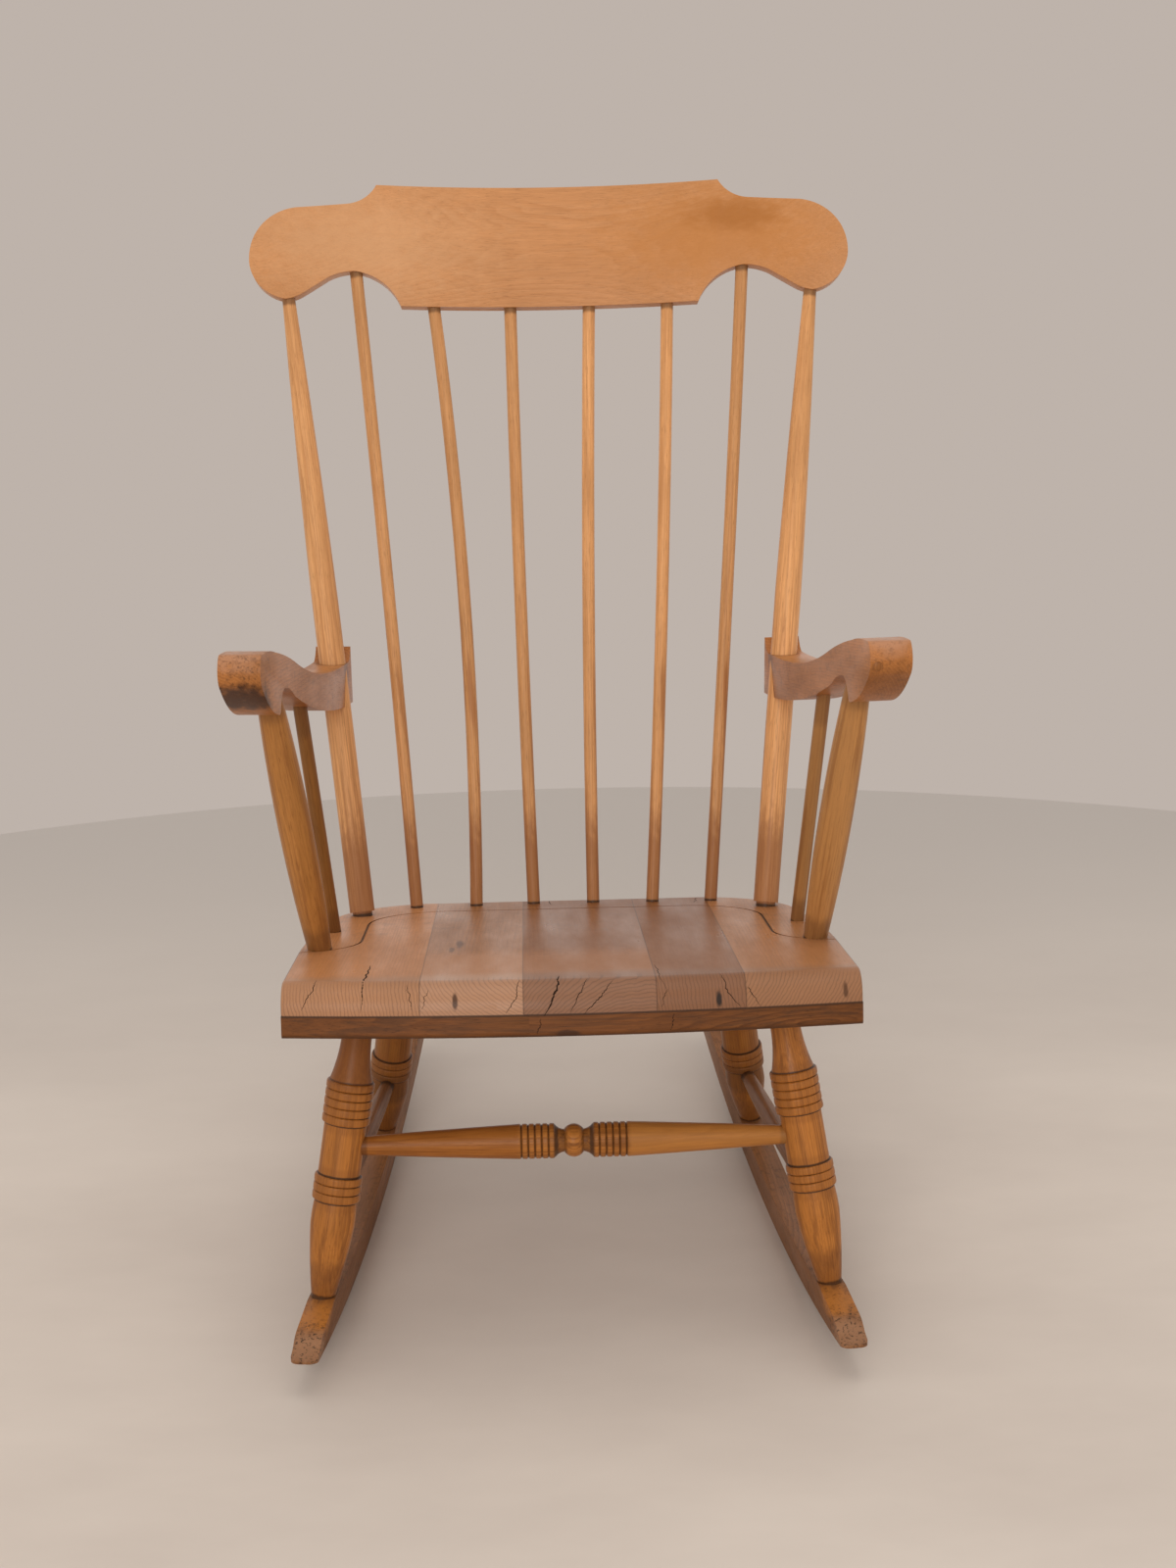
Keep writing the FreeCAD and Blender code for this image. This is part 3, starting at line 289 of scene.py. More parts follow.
CREST = Timber("crest_wood", (0.61, 0.295, 0.130), (0.54, 0.242, 0.094), (0.44, 0.176, 0.058),
               ring=3.0, ring_show=0.30, fibre=0.10, pores=0.35, cloud=0.10, drift=6)
SPINDLE = Timber("spindle_wood", (0.70, 0.360, 0.150), (0.64, 0.310, 0.122), (0.45, 0.195, 0.070),
                 ring=2.6, ring_show=0.60, fibre=0.14, pores=0.45, cloud=0.16)
ARM = Timber("arm_wood", (0.48, 0.192, 0.060), (0.41, 0.150, 0.039), (0.27, 0.088, 0.022),
             ring=2.8, ring_show=0.50, fibre=0.13, pores=0.45, cloud=0.24, gloss=(0.30, 0.50))
TURNED = Timber("turned_wood", (0.50, 0.192, 0.042), (0.42, 0.152, 0.030), (0.27, 0.085, 0.016),
                ring=2.6, ring_show=0.60, fibre=0.16, pores=0.50, cloud=0.22, gloss=(0.28, 0.45))
SUPPORT = Timber("turned_wood", (0.48, 0.212, 0.058), (0.40, 0.166, 0.042), (0.27, 0.096, 0.022),
                 ring=2.6, ring_show=0.55, fibre=0.15, pores=0.50, cloud=0.20, gloss=(0.28, 0.45))
SEAT = Timber("seat_wood", (0.40, 0.172, 0.066), (0.345, 0.143, 0.053), (0.23, 0.088, 0.030),
              ring=3.2, ring_show=0.45, fibre=0.11, pores=0.40, cloud=0.18, gloss=(0.26, 0.46), drift=7)
STRIP = Timber("seat_wood", (0.195, 0.068, 0.017), (0.155, 0.051, 0.0125), (0.080, 0.025, 0.006),
               ring=3.4, ring_show=0.85, fibre=0.16, pores=0.45, cloud=0.22, gloss=(0.34, 0.55),
               drift=9)
ROCKER = Timber("rocker_wood", (0.28, 0.115, 0.040), (0.225, 0.088, 0.029), (0.13, 0.046, 0.015),
                ring=3.0, ring_show=0.7, fibre=0.15, pores=0.45, cloud=0.28, gloss=(0.36, 0.58))
TIMBERS = (CREST, SPINDLE, ARM, TURNED, SUPPORT, SEAT, STRIP, ROCKER)
print("timbers:", sorted({timber.slot for timber in TIMBERS}))

# %% [markdown]
# Years of hands, feet and floor polish leave marks, and most of them follow the shape of a piece:
# dirt in the grooves, dark rings at the joints, rubbed places on the edges. The same kinds of mark
# also lay painted shade and painted highlights on a few pieces. Each kind of mark is a small
# function. It gets the shader, the place in the chair, the place in the grain frame and
# the colour so far, and gives the colour back with its mark on it.

# %% Marks of use
def away_from_axis(make, local):
    """The distance from a turned piece's own axis."""
    parts = make.vector("MULTIPLY", local, (0, 1, 1))
    return make.vector("LENGTH", parts, out=1)


def axis_place(make, vector, axis):
    return make.add("SeparateXYZ", axis, None, Vector=vector)


def rough_edge(make, value, local, size, much):
    """Shift a measure with some noise, so that the edge of a mark isn't clean."""
    cloud = make.noise(local, (size, size * 2, size * 2), detail=3)
    return make.math("ADD", value, make.math("MULTIPLY", make.math("SUBTRACT", cloud, 0.5), much))


def both(make, first, second):
    """Where two masks overlap."""
    return make.math("MULTIPLY", first, second)


def band(low, high, soft, colour, strength, axis="X", thinner=None):
    """A stain or a painted shade between two places in the grain frame, in millimetres, maybe only on
    thin parts.
    """
    def mark(make, place, local, before):
        along = rough_edge(make, axis_place(make, local, axis), local, 90, soft * MM * 0.9)
        mask = make.inside(along, low * MM, high * MM, soft * MM)
        if thinner:
            bare = make.fade(away_from_axis(make, local), (thinner + 0.7) * MM, (thinner - 0.5) * MM)
            mask = both(make, mask, bare)
        return make.mix(both(make, mask, strength), before, colour)
    return mark


def spot(centre, reach, colour, strength, edge=0.45):
    """A stain or a painted highlight round a point of the chair, with its reach along X, Y and Z, in
    millimetres.
    """
    def mark(make, place, local, before):
        offset = make.vector("SUBTRACT", place, tuple(value * MM for value in centre))
        offset = make.vector("DIVIDE", offset, tuple(value * MM for value in reach))
        far = rough_edge(make, make.vector("LENGTH", offset, out=1), local, 60, 0.7)
        mask = make.fade(far, 1.0, 1.0 - edge)
        return make.mix(both(make, mask, strength), before, colour)
    return mark


def speckle(low, high, colour, strength, axis="Y", size=420):
    """Small scuffs between two places in the chair's own frame, in millimetres."""
    def mark(make, place, local, before):
        cloud = make.noise(place, (size, size, size), detail=3, roughness=0.7)
        dots = make.fade(cloud, 0.52, 0.66)
        where = make.inside(axis_place(make, place, axis), low * MM, high * MM, 14 * MM)
        return make.mix(both(make, both(make, dots, where), strength), before, colour)
    return mark


def streaks(low, high, soft, colour, strength):
    """Dark streaks that run with the grain between two places along it, in millimetres."""
    def mark(make, place, local, before):
        lines = make.fade(make.noise(local, (7, 230, 230), detail=3), 0.46, 0.64)
        where = make.inside(axis_place(make, local, "X"), low * MM, high * MM, soft * MM)
        return make.mix(both(make, both(make, lines, where), strength), before, colour)
    return mark


# Near black, used for dirt in joints and grooves, and also as the painted shade at the top of the rear
# legs.
SOOT_AND_SHADE = (0.022, 0.012, 0.008)
GRIME = (0.060, 0.026, 0.012)
UMBER = (0.120, 0.050, 0.020)
print("kinds of mark:", [kind.__name__ for kind in (band, spot, speckle, streaks)])

# %% [markdown]
# A saw leaves an edge as sharp as a knife, and no chair keeps it: it is sanded, and then worn by
# sleeves and shoes. The arms, the rockers and the crest rail get such an edge here. Their meshes
# are copied, flat neighbouring triangles are joined into whole faces, and a narrow rounded bevel
# is put on every edge that turns sharply. The copy stands in for the solid and stays inside it.

# %% Soften the sawn edges
SAME_POINT = 0.00001
FLAT_TURN = math.radians(0.6)
SHARP_TURN = math.radians(38)
SMOOTH_TURN = math.radians(32)


def softened(node, width):
    """A copy of a solid with its sharp edges rounded, riding where the solid rides."""
    mesh = nodes[node].data.copy()
    mesh.materials.clear()
    piece = bpy.data.objects.new(node + "_softened", mesh)
    bpy.context.scene.collection.objects.link(piece)
    work = bmesh.new()
    work.from_mesh(mesh)
    bmesh.ops.remove_doubles(work, verts=work.verts, dist=SAME_POINT)
    bmesh.ops.dissolve_limit(work, angle_limit=FLAT_TURN, verts=work.verts, edges=work.edges)
    sharp = []
    for edge in work.edges:
        if len(edge.link_faces) == 2 and edge.calc_face_angle() > SHARP_TURN:
            sharp.append(edge)
    bmesh.ops.bevel(work, geom=sharp, offset=width * MM, segments=3, profile=0.5, affect="EDGES",
                    clamp_overlap=True)
    work.to_mesh(mesh)
    work.free()
    for face in mesh.polygons:
        face.use_smooth = True
    mesh.set_sharp_from_angle(angle=SMOOTH_TURN)
    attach(piece, "root")
    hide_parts(node)
    print(node, "edges rounded:", len(sharp), "faces:", len(mesh.polygons))
    return piece


def dress(piece, material):
    """Put one material on every slot of a piece."""
    if not piece.material_slots:
        piece.data.materials.append(material)
    for slot in piece.material_slots:
        slot.material = material


# %% [markdown]
# The crest rail is the showpiece: one pale board with its grain running from ear to ear. Its pith
# lay close to the board, so the face shows broad, faint arches near the middle and close lines near
# the edges. It is palest at the left ear, with a darker, denser patch at the right upper corner.

# %% The crest rail
crest_frame = grain_frame((-0.1, 0.33, 0.96), (1, 0, 0), (0, 0, 1))
crest_marks = [
    spot((200, 337, 990), (220, 90, 90), (0.49, 0.190, 0.046), 0.75, edge=0.9),
    spot((205, 337, 1016), (78, 60, 26), (0.36, 0.123, 0.020), 0.65, edge=0.8),
    spot((-220, 337, 985), (230, 110, 100), (0.650, 0.350, 0.172), 0.65, edge=1.0),
    spot((286, 337, 905), (60, 60, 14), (0.40, 0.17, 0.07), 0.45, edge=0.8),
    spot((-286, 337, 905), (60, 60, 14), (0.40, 0.17, 0.07), 0.35, edge=0.8),
]
crest = softened("crest_rail", 2.2)
dress(crest, wood("crest_finish", CREST, crest_frame, (-78, 70), lean=(-0.06, 0.05),
                  marks=crest_marks))

# %% [markdown]
# The posts and spindles are one honey colour, but each was cut from its own stick. A new seed and
# a new pith for every name keep them from looking like copies. Dark streaks run up from the seat,
# where dust and polish collect. The lowest few centimetres of each are darker still, with a black
# line where the wood goes into the seat.

# %% The posts and spindles
# Name, how light the stick is, and how strong its low streaks are.
STICKS = [("back_post_left", 1.06, 0.45), ("back_post_right", 1.10, 0.22), ("spindle_1", 0.93, 0.55),
          ("spindle_2", 0.88, 0.60), ("spindle_3", 0.92, 0.45), ("spindle_4", 1.09, 0.55),
          ("spindle_5", 1.05, 0.50), ("spindle_6", 0.88, 0.75)]
SEAT_FACE = 20
LOW_STREAK = (0.30, 0.115, 0.040)
LONG_STREAK = (0.42, 0.175, 0.060)
DARK_FOOT = (0.27, 0.10, 0.035)
for number, (name, shade, streak) in enumerate(STICKS):
    stick, length = turned_frame(name)
    top = length / MM
    marks = [
        streaks(SEAT_FACE - 10, SEAT_FACE + 240, 190, LOW_STREAK, streak),
        streaks(SEAT_FACE - 10, top, 10, LONG_STREAK, 0.35),
        band(SEAT_FACE - 6, SEAT_FACE + 60, 60, DARK_FOOT, 0.68),
        band(SEAT_FACE - 6, SEAT_FACE + 1.0, 2.0, SOOT_AND_SHADE, 0.85),
        band(top - 26, top, 4, GRIME, 0.6),
    ]
    pith = (14 + 9 * math.cos(number * 2.1), 17 + 9 * math.sin(number * 2.1))
    dress(nodes[name], wood(name + "_finish", SPINDLE, stick, pith, lean=(0.012, 0.01), shade=shade,
                            marks=marks))
    print(name, round(length, 3))

# %% [markdown]
# The arms are thick sawn scrolls. Use has left them a blotchy orange brown, darkest on the left
# roll, where dirt has gone into the end grain. The top of each roll has a painted highlight, a
# lighter patch where the light falls on it. The little plug in the right roll probably hides a screw.

# %% The arms and the plug
for side, sign in (("left", -1), ("right", 1)):
    name = "arm_" + side
    middle, direction = long_direction(name)
    grain = grain_frame(middle, direction, (0, 0, 1))
    roll = (287 * sign, -306, 632)
    marks = [
        spot(roll, (54, 46, 38), (0.055, 0.019, 0.007), 0.95 if side == "left" else 0.25, edge=0.40),
        # Painted highlight: a lighter patch on the top of each roll.
        spot((287 * sign, -296, 694), (42, 50, 24), (0.44, 0.215, 0.118), 0.75, edge=0.7),
        speckle(-340, -270, SOOT_AND_SHADE, 0.45 if side == "left" else 0.22, size=260),
        speckle(-360, 260, (0.14, 0.055, 0.022), 0.35, size=110),
        spot((268 * sign, -120, 622), (16, 120, 26), (0.42, 0.165, 0.048), 0.5, edge=0.8),
        spot((246 * sign, 150, 570), (30, 60, 16), (0.48, 0.205, 0.075), 0.6, edge=0.8),
        spot((244 * sign, 157, 552), (22, 22, 30), GRIME, 0.45, edge=0.35),
    ]
    arm = softened(name, 2.4)
    dress(arm, wood(name + "_finish", ARM, grain, (26, -34), lean=(0.05, 0.03),
                    shade=0.95 if side == "left" else 1.03, marks=marks))

plug_grain = grain_frame((0.28, -0.31, 0.66), (0, 0, 1), (0, -1, 0))
dress(nodes["arm_plug"], wood("arm_plug_finish", ARM, plug_grain, (5, 4), shade=0.72))
print("the arms have their finish")

# %% [markdown]
# Under the arms stand two swelling supports and two slim spindles. They share the legs' kind of
# timber, but a yellower brown. The slim ones are darker than the thick ones, and all feet are dark.

# %% The supports and spindles under the arms
for side in ("left", "right"):
    for name, shade in (("arm_support_" + side, 1.02), ("arm_spindle_" + side, 0.72)):
        stick, length = turned_frame(name)
        marks = [
            streaks(0, length / MM, 60, (0.20, 0.068, 0.018), 0.45),
            band(16, 40, 14, UMBER, 0.45),
            band(16, 21.0, 2.0, SOOT_AND_SHADE, 0.85),
            band(length / MM - 42, length / MM - 16, 12, UMBER, 0.35),
        ]
        if side == "right":
            marks.insert(0, band(20, length / MM, 20, (0.47, 0.245, 0.095), 0.40))
        dress(nodes[name], wood(name + "_finish", SUPPORT, stick, (18, 13), lean=(0.02, 0.015),
                                shade=shade * (0.97 if side == "left" else 1.15), marks=marks))
print("supports finished")

# %% [markdown]
# The legs came off the lathe with two groups of bands. Stain gathers in the grooves between them,
# and the finish is rubbed off the bands, so a groove is recognised by its smaller distance from
# the axis. Just under the seat each leg gets a painted shade, almost black on the rear ones, and the
# rear legs are painted darker as a whole, as they stand in the seat's shade. Where a rocker meets a
# leg the joint has gone dark.

# %% The legs
TENON = 17
# Painted shade: the rear legs are made darker as a whole, for the shade under the seat.
LEGS = {"front": {"rings": (108.3, 192.3), "shade": 1.0},
        "rear": {"rings": (83, 150), "top": 240, "shade": 0.64}}
RING_HALVES = (13.5, 21.5)
RING_BOTTOM = 21.6
REAR_JOINT = 62
for end, data in LEGS.items():
    for side, sign in (("left", -1), ("right", 1)):
        name = "%s_leg_%s" % (end, side)
        stick, length = turned_frame(name)
        marks = [
            streaks(0, 340, 40, (0.17, 0.055, 0.014), 0.5),
            band(TENON - 4, TENON + 26, 16, (0.15, 0.050, 0.014), 0.5),
            band(TENON - 14, TENON + 1.5, 2.5, SOOT_AND_SHADE, 0.75),
        ]
        for rings, half in zip(data["rings"], RING_HALVES):
            middle = TENON + rings
            marks.append(band(middle - half - 5, middle + half + 5, 5, (0.24, 0.080, 0.018), 0.35))
            marks.append(band(middle - half, middle + half, 1, GRIME, 0.90, thinner=RING_BOTTOM))
        if end == "front":
            # Painted shade: the top of a front leg, just under the seat, is darkened.
            under_seat_shade = 0.75 if side == "left" else 0.30
            marks.append(band(TENON + 225, TENON + 330, 30, (0.17, 0.052, 0.011), under_seat_shade))
        if end == "rear":
            # Painted shade: the top of a rear leg, under the seat, is made almost black.
            marks.append(band(TENON + data["top"] - 34, TENON + data["top"] + 30, 12, SOOT_AND_SHADE, 0.80))
            joint = TENON + REAR_JOINT
            marks.append(band(joint - 14, joint + 14, 8, GRIME, 0.35))
        shade = data["shade"] * (1.0 if side == "left" else 1.10)
        dress(nodes[name], wood(name + "_finish", TURNED, stick, (15 * sign, 19), lean=(0.015, 0.01),
                                shade=shade, marks=marks))
        print(name, round(length, 3))

# %% [markdown]
# The front stretcher has a bead in the middle, a cove on each side and five bands beyond. Its left
# half has kept a darker stain than its right half. The side stretchers are plain, dull dowels.

# %% The stretchers
low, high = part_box("front_stretcher")
stick = grain_frame((low + high) / 2, (1, 0, 0), (0, 0, 1))
half = (high - low).x / 2 / MM
marks = [streaks(-half, half, 10, (0.15, 0.048, 0.012), 0.55)]
for sign in (-1, 1):
    first, last = sorted((16 * sign, 54 * sign))
    marks.append(band(first, last, 1.5, GRIME, 0.80, thinner=15.9))
    joint = sorted(((half - 19) * sign, half * sign))
    marks.append(band(joint[0], joint[1], 3, SOOT_AND_SHADE, 0.80))
marks.append(band(-half, -56, 6, (0.26, 0.080, 0.013), 0.50))
marks.append(band(56, half, 6, (0.50, 0.205, 0.048), 0.55))
marks.append(band(-19, -8, 2, GRIME, 0.45))
marks.append(band(8, 19, 2, GRIME, 0.45))
dress(nodes["front_stretcher"], wood("front_stretcher_finish", TURNED, stick, (9, -21),
                                     lean=(0.01, 0.02), shade=0.94, marks=marks))
for side in ("left", "right"):
    name = "side_stretcher_" + side
    middle, direction = long_direction(name)
    stick = grain_frame(middle, direction, (0, 0, 1))
    reach = [(vertex.co - middle).dot(direction) for vertex in nodes[name].data.vertices]
    half = max(reach) / MM
    marks = [band(half - 28, half, 8, SOOT_AND_SHADE, 0.7), band(-half, 28 - half, 8, SOOT_AND_SHADE, 0.7)]
    dress(nodes[name], wood(name + "_finish", ROCKER, stick, (11, 12), shade=0.95, marks=marks))
print("stretchers finished")

# %% [markdown]
# Each rocker is one curved board on edge. Its sides are a dull brown. On the toe in front the
# varnish is worn through in pale patches with dark specks.

# %% The rockers
for side, sign in (("left", -1), ("right", 1)):
    name = "rocker_" + side
    middle, direction = long_direction(name)
    marks = [
        spot((247 * sign, -330, 62), (34, 48, 30), (0.46, 0.165, 0.030), 0.90, edge=0.5),
        spot((250 * sign, -376, 44), (34, 30, 26), (0.33, 0.165, 0.085), 0.78, edge=0.6),
        speckle(-400, -345, SOOT_AND_SHADE, 0.85, size=300),
        speckle(-350, -300, (0.12, 0.04, 0.012), 0.5, size=260),
        speckle(-300, 400, GRIME, 0.35, size=130),
    ]
    rocker = softened(name, 2.0)
    grain = grain_frame(middle, direction, (0, 0, 1))
    dress(rocker, wood(name + "_finish", ROCKER, grain, (22, -30), lean=(0.03, 0.02), marks=marks))

# %% [markdown]
# The seat is five boards glued side by side, each from another tree, so each gets its own pith and
# its own shade of tan. Their end grain is seen on the rolled front edge: the rings are cut
# across there, and the place of the pith decides how the fine lines slant. Dirt fills the joints
# and the groove round the sitting area, which is found by its depth under the seat's top.

# %% The seat
SLOPE = math.radians(11.9)
DOWN_BACK = Vector((0, math.cos(SLOPE), -math.sin(SLOPE)))
SEAT_UP = Vector((0, math.sin(SLOPE), math.cos(SLOPE)))
SEAT_EDGE = Vector((0, -0.320, 0.3842))
JOINTS = (-266.5, -139, -45, 76, 157.5, 266.5)
SEAT_SIDE = 260


def seat_dirt(number):
    """Dark joints, groove and lamination line, worked out in the seat's own frame."""
    def mark(make, place, local, before):
        across = axis_place(make, place, "X")
        mask = 0.0
        for edge in JOINTS[number:number + 2]:
            if abs(edge) < SEAT_SIDE:
                line = make.inside(across, (edge - 0.35) * MM, (edge + 0.35) * MM, 0.45 * MM)
                mask = make.math("MAXIMUM", mask, both(make, line, 0.45))
        depth = axis_place(make, local, "Z")
        behind = axis_place(make, local, "X")
        groove = make.inside(depth, -4 * MM, -0.6 * MM, 0.5 * MM)
        groove = both(make, groove, make.fade(behind, 26 * MM, 34 * MM))
        glue = both(make, make.fade(depth, -27.7 * MM, -28.6 * MM), make.fade(behind, 66 * MM, 54 * MM))
        lines = make.math("MAXIMUM", both(make, groove, 0.75), both(make, glue, 0.75))
        return make.mix(make.math("MAXIMUM", mask, lines), before, SOOT_AND_SHADE)
    return mark


def worn_roll(tint):
    """The rolled front edge has a tint of its own, and its cut rings show as dark hatching."""
    def mark(make, place, local, before):
        behind = axis_place(make, local, "X")
        near = make.fade(behind, 46 * MM, 14 * MM)
        worn = make.mix(both(make, near, 0.70), before, tint)
        cut = both(make, make.fade(behind, 20 * MM, 2 * MM), 0.42)
        hatch = both(make, make.fade(make.rings, 0.62, 0.90), cut)
        return make.mix(hatch, worn, tuple(part * 0.42 for part in tint))
    return mark


# Number, place of the pith, how light the board is, and the colour of its rolled edge.
STAVES = [(1, (-330, 60), 1.38, (0.355, 0.184, 0.103)), (2, (0, 90), 0.92, (0.420, 0.235, 0.146)),
          (3, (-70, -120), 0.74, (0.240, 0.126, 0.080)), (4, (250, -60), 0.74, (0.228, 0.110, 0.063)),
          (5, (60, 150), 1.10, (0.276, 0.137, 0.075))]
# How strong the painted highlight is on each board: a lighter strip just behind the roll, where light
# falls.
HIGHLIGHT_SHARE = {1: 0.20, 2: 0.50, 3: 0.38, 4: 0.05, 5: 0.15}
# Knots and gouges, with their place, reach, colour and strength.
SEAT_KNOTS = {2: [((-108, -125, 343), (5.0, 30, 20), (0.120, 0.040, 0.010), 0.92),
                  ((-115, -158, 350), (3.6, 20, 20), (0.130, 0.044, 0.011), 0.85),
                  ((-106.9, -340.6, 372), (3.2, 20, 9), (0.07, 0.030, 0.016), 0.9)],
              4: [((132.6, -341, 368), (3.6, 20, 9), (0.030, 0.018, 0.013), 0.98)],
              5: [((249.8, -325, 368), (3, 16, 9), (0.08, 0.032, 0.014), 0.8)]}
PAINTED_HIGHLIGHT = (0.47, 0.190, 0.066)
DEEPER = (0.21, 0.060, 0.008)
grain = grain_frame(SEAT_EDGE, DOWN_BACK, SEAT_UP)
for number, pith, shade, tint in STAVES:
    name = "seat_stave_%d" % number
    marks = [
        # Painted highlight: a lighter strip just behind the rolled front edge.
        band(24, 110, 70, PAINTED_HIGHLIGHT, HIGHLIGHT_SHARE[number]),
        worn_roll(tint),
        seat_dirt(number - 1),
        speckle(-60, 150, (0.16, 0.070, 0.032), 0.30, size=60),
    ]
    if number in (3, 4):
        marks.insert(0, band(-80, 700, 20, DEEPER, 0.42))
    marks += [spot(*knot, edge=0.6) for knot in SEAT_KNOTS.get(number, [])]
    dress(nodes[name], wood(name + "_finish", SEAT, grain, pith, lean=(0.012, 0.01), shade=shade,
                            marks=marks))
    print(name, "pith at", pith)

# %% [markdown]
# A strip of three darker blocks thickens the seat's front from below. Their grain runs from side to
# side, so the front shows long lines, with a knot in the middle and curved rings at the right.

# %% The front strip
BLOCKS = [(1, (-90, 20), 1.0), (2, (60, -35), 0.95), (3, (-6, -6), 0.98)]
STRIP_KNOT = spot((-4.9, -351, 342.7), (15, 20, 5), (0.045, 0.018, 0.009), 0.8)
UNDER_EDGE = SEAT_EDGE - SEAT_UP * 0.04 + Vector((0.2, 0, 0))
for number, pith, shade in BLOCKS:
    name = "front_block_%d" % number
    grain = grain_frame(UNDER_EDGE, (1, 0, 0), SEAT_UP)
    marks = [
        band(10.2, 14, 0.9, SOOT_AND_SHADE, 0.65, axis="Z"),
        band(-12, -8, 2, GRIME, 0.5, axis="Z"),
        streaks(-500, 200, 20, GRIME, 0.45),
    ]
    if number == 2:
        marks.append(STRIP_KNOT)
    dress(nodes[name], wood(name + "_finish", STRIP, grain, pith, lean=(0.03, 0.02), shade=shade,
                            marks=marks))
print("front strip finished")

# %% [markdown]
# The seat has dried and split, mostly at its front. A crack could be cut out of the solid, but most
# are about a millimetre wide, so each is laid in as a dark sliver: a closed body with a flat
# diamond section that dips into the wood and shows as a line. Its path goes through a few points, is
# dropped onto the nearest wood and given a little wander, because wood never splits straight.

# %% The cracks in the seat
seat_nodes = [name for name in nodes if name.startswith(("seat_stave", "front_block"))]
corners = []
triangles = []
for name in seat_nodes:
    mesh = nodes[name].data
    mesh.calc_loop_triangles()
    start = len(corners)
    corners += [vertex.co.copy() for vertex in mesh.vertices]
    for triangle in mesh.loop_triangles:
        triangles.append([start + corner for corner in triangle.vertices])
seat_surface = BVHTree.FromPolygons(corners, triangles)


def along_path(path, part):
    """The point this share of the way along a line through several points."""
    lengths = [(after - before).length for before, after in zip(path, path[1:])]
    left = part * sum(lengths)
    for before, after, length in zip(path, path[1:], lengths):
        if left <= length:
            return before.lerp(after, left / length)
        left -= length
    return path[-1].copy()


WANDER = 1.2
STEPS = 26
BELOW = 0.0008
PROUD = 0.00016
EDGE_DIP = 0.00005
THINNEST = 0.00005


def crack(name, path, width):
    """A dark sliver on the seat through a few points, thin at both ends, in millimetres."""
    random.seed(name)
    path = [Vector(point) * MM for point in path]
    ahead = (path[-1] - path[0]).normalized()
    sideways = ahead.cross(Vector((0, -1, 1))).normalized()
    work = bmesh.new()
    rows = []
    bend = 0.0
    for step in range(STEPS + 1):
        part = step / STEPS
        swell = math.sin(math.pi * part)
        bend = bend * 0.75 + random.uniform(-1, 1) * WANDER * MM * 0.5
        place = along_path(path, part) + sideways * bend * swell * 1.6
        spot_on, normal, _, _ = seat_surface.find_nearest(place)
        half = width * MM / 2 * swell ** 0.6 * random.uniform(0.75, 1.1) + THINNEST
        across = normal.cross(ahead).normalized()
        rows.append([work.verts.new(spot_on + across * half - normal * EDGE_DIP),
                     work.verts.new(spot_on + normal * PROUD),
                     work.verts.new(spot_on - across * half - normal * EDGE_DIP),
                     work.verts.new(spot_on - normal * BELOW)])
    for near, far in zip(rows, rows[1:]):
        for corner in range(4):
            after = (corner + 1) % 4
            work.faces.new((near[corner], near[after], far[after], far[corner]))
    work.faces.new(rows[0][::-1])
    work.faces.new(rows[-1])
    bmesh.ops.recalc_face_normals(work, faces=work.faces)
    mesh = bpy.data.meshes.new(name)
    work.to_mesh(mesh)
    work.free()
    piece = bpy.data.objects.new(name, mesh)
    bpy.context.scene.collection.objects.link(piece)
    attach(piece, "root")
    return piece


def crack_material():
    make = Shader("crack_shadow")
    place = make.add("TexCoord", "Object")
    cloud = make.noise(place, (300, 300, 300), detail=2)
    colour = make.ramp(cloud, [(0.3, (0.010, 0.006, 0.004)), (0.7, (0.035, 0.017, 0.009))])
    return make.finish(colour, 0.85, None, Specular_IOR_Level=0.1)


# The way points of each crack in the chair's frame, and how wide it gaps, in millimetres.
CRACKS = [
    (((-189.7, -229.7, 365.2), (-190.5, -322, 381), (-191.5, -336, 374), (-193.3, -338, 362)),
     2.2),
    (((-234, -300, 379), (-238, -318, 377), (-247, -328, 362)), 1.1),
    (((-150.7, -321, 382), (-147, -336, 374), (-146, -340, 364)), 0.8),
    (((-130.9, -330, 380), (-137, -341, 366)), 0.7),
    (((-48, -322, 384), (-53, -342, 373), (-61, -346, 362)), 1.1),
    (((-12, -306, 383), (-13, -330, 383), (-19, -345, 372), (-27, -348, 359)), 2.6),
    (((14, -322, 385), (6, -342, 376), (-3, -347, 362)), 1.1),
    (((37, -326, 383), (26, -343, 375), (9, -348, 360)), 1.1),
    (((78.2, -262, 372), (80, -322, 383), (86, -338, 376)), 0.9),
    (((86, -338, 379), (80, -345, 364)), 0.7),
    (((135, -316, 383), (141, -338, 374), (152, -341, 361)), 1.1),
    (((155, -312, 382), (162, -336, 373), (170, -339, 360)), 1.1),
    (((-29.3, -348, 357), (-33.2, -351, 343)), 1.0),
    (((91.4, -345.5, 358), (87.5, -349, 342)), 1.1),
    (((-14, 112, 293.5), (-16, 143, 287)), 1.1),
    (((143, 106, 294.5), (149, 140, 288)), 1.1),
]
shadow = crack_material()
for number, (path, width) in enumerate(CRACKS, start=1):
    sliver = crack("seat_crack_%02d" % number, path, width)
    dress(sliver, shadow)
print("cracks:", len(CRACKS))

# %% [markdown]
# The room is a plain pale wall and a plain pale floor. Neither is part of the chair. The floor is a
# wide disc with a painted shade: it turns a little greyer towards its far edge, as if less light
# reached it there, and this makes the line where floor and wall meet. The wall is the world's
# colour, seen by the camera. As light the same world is a soft pale glow.

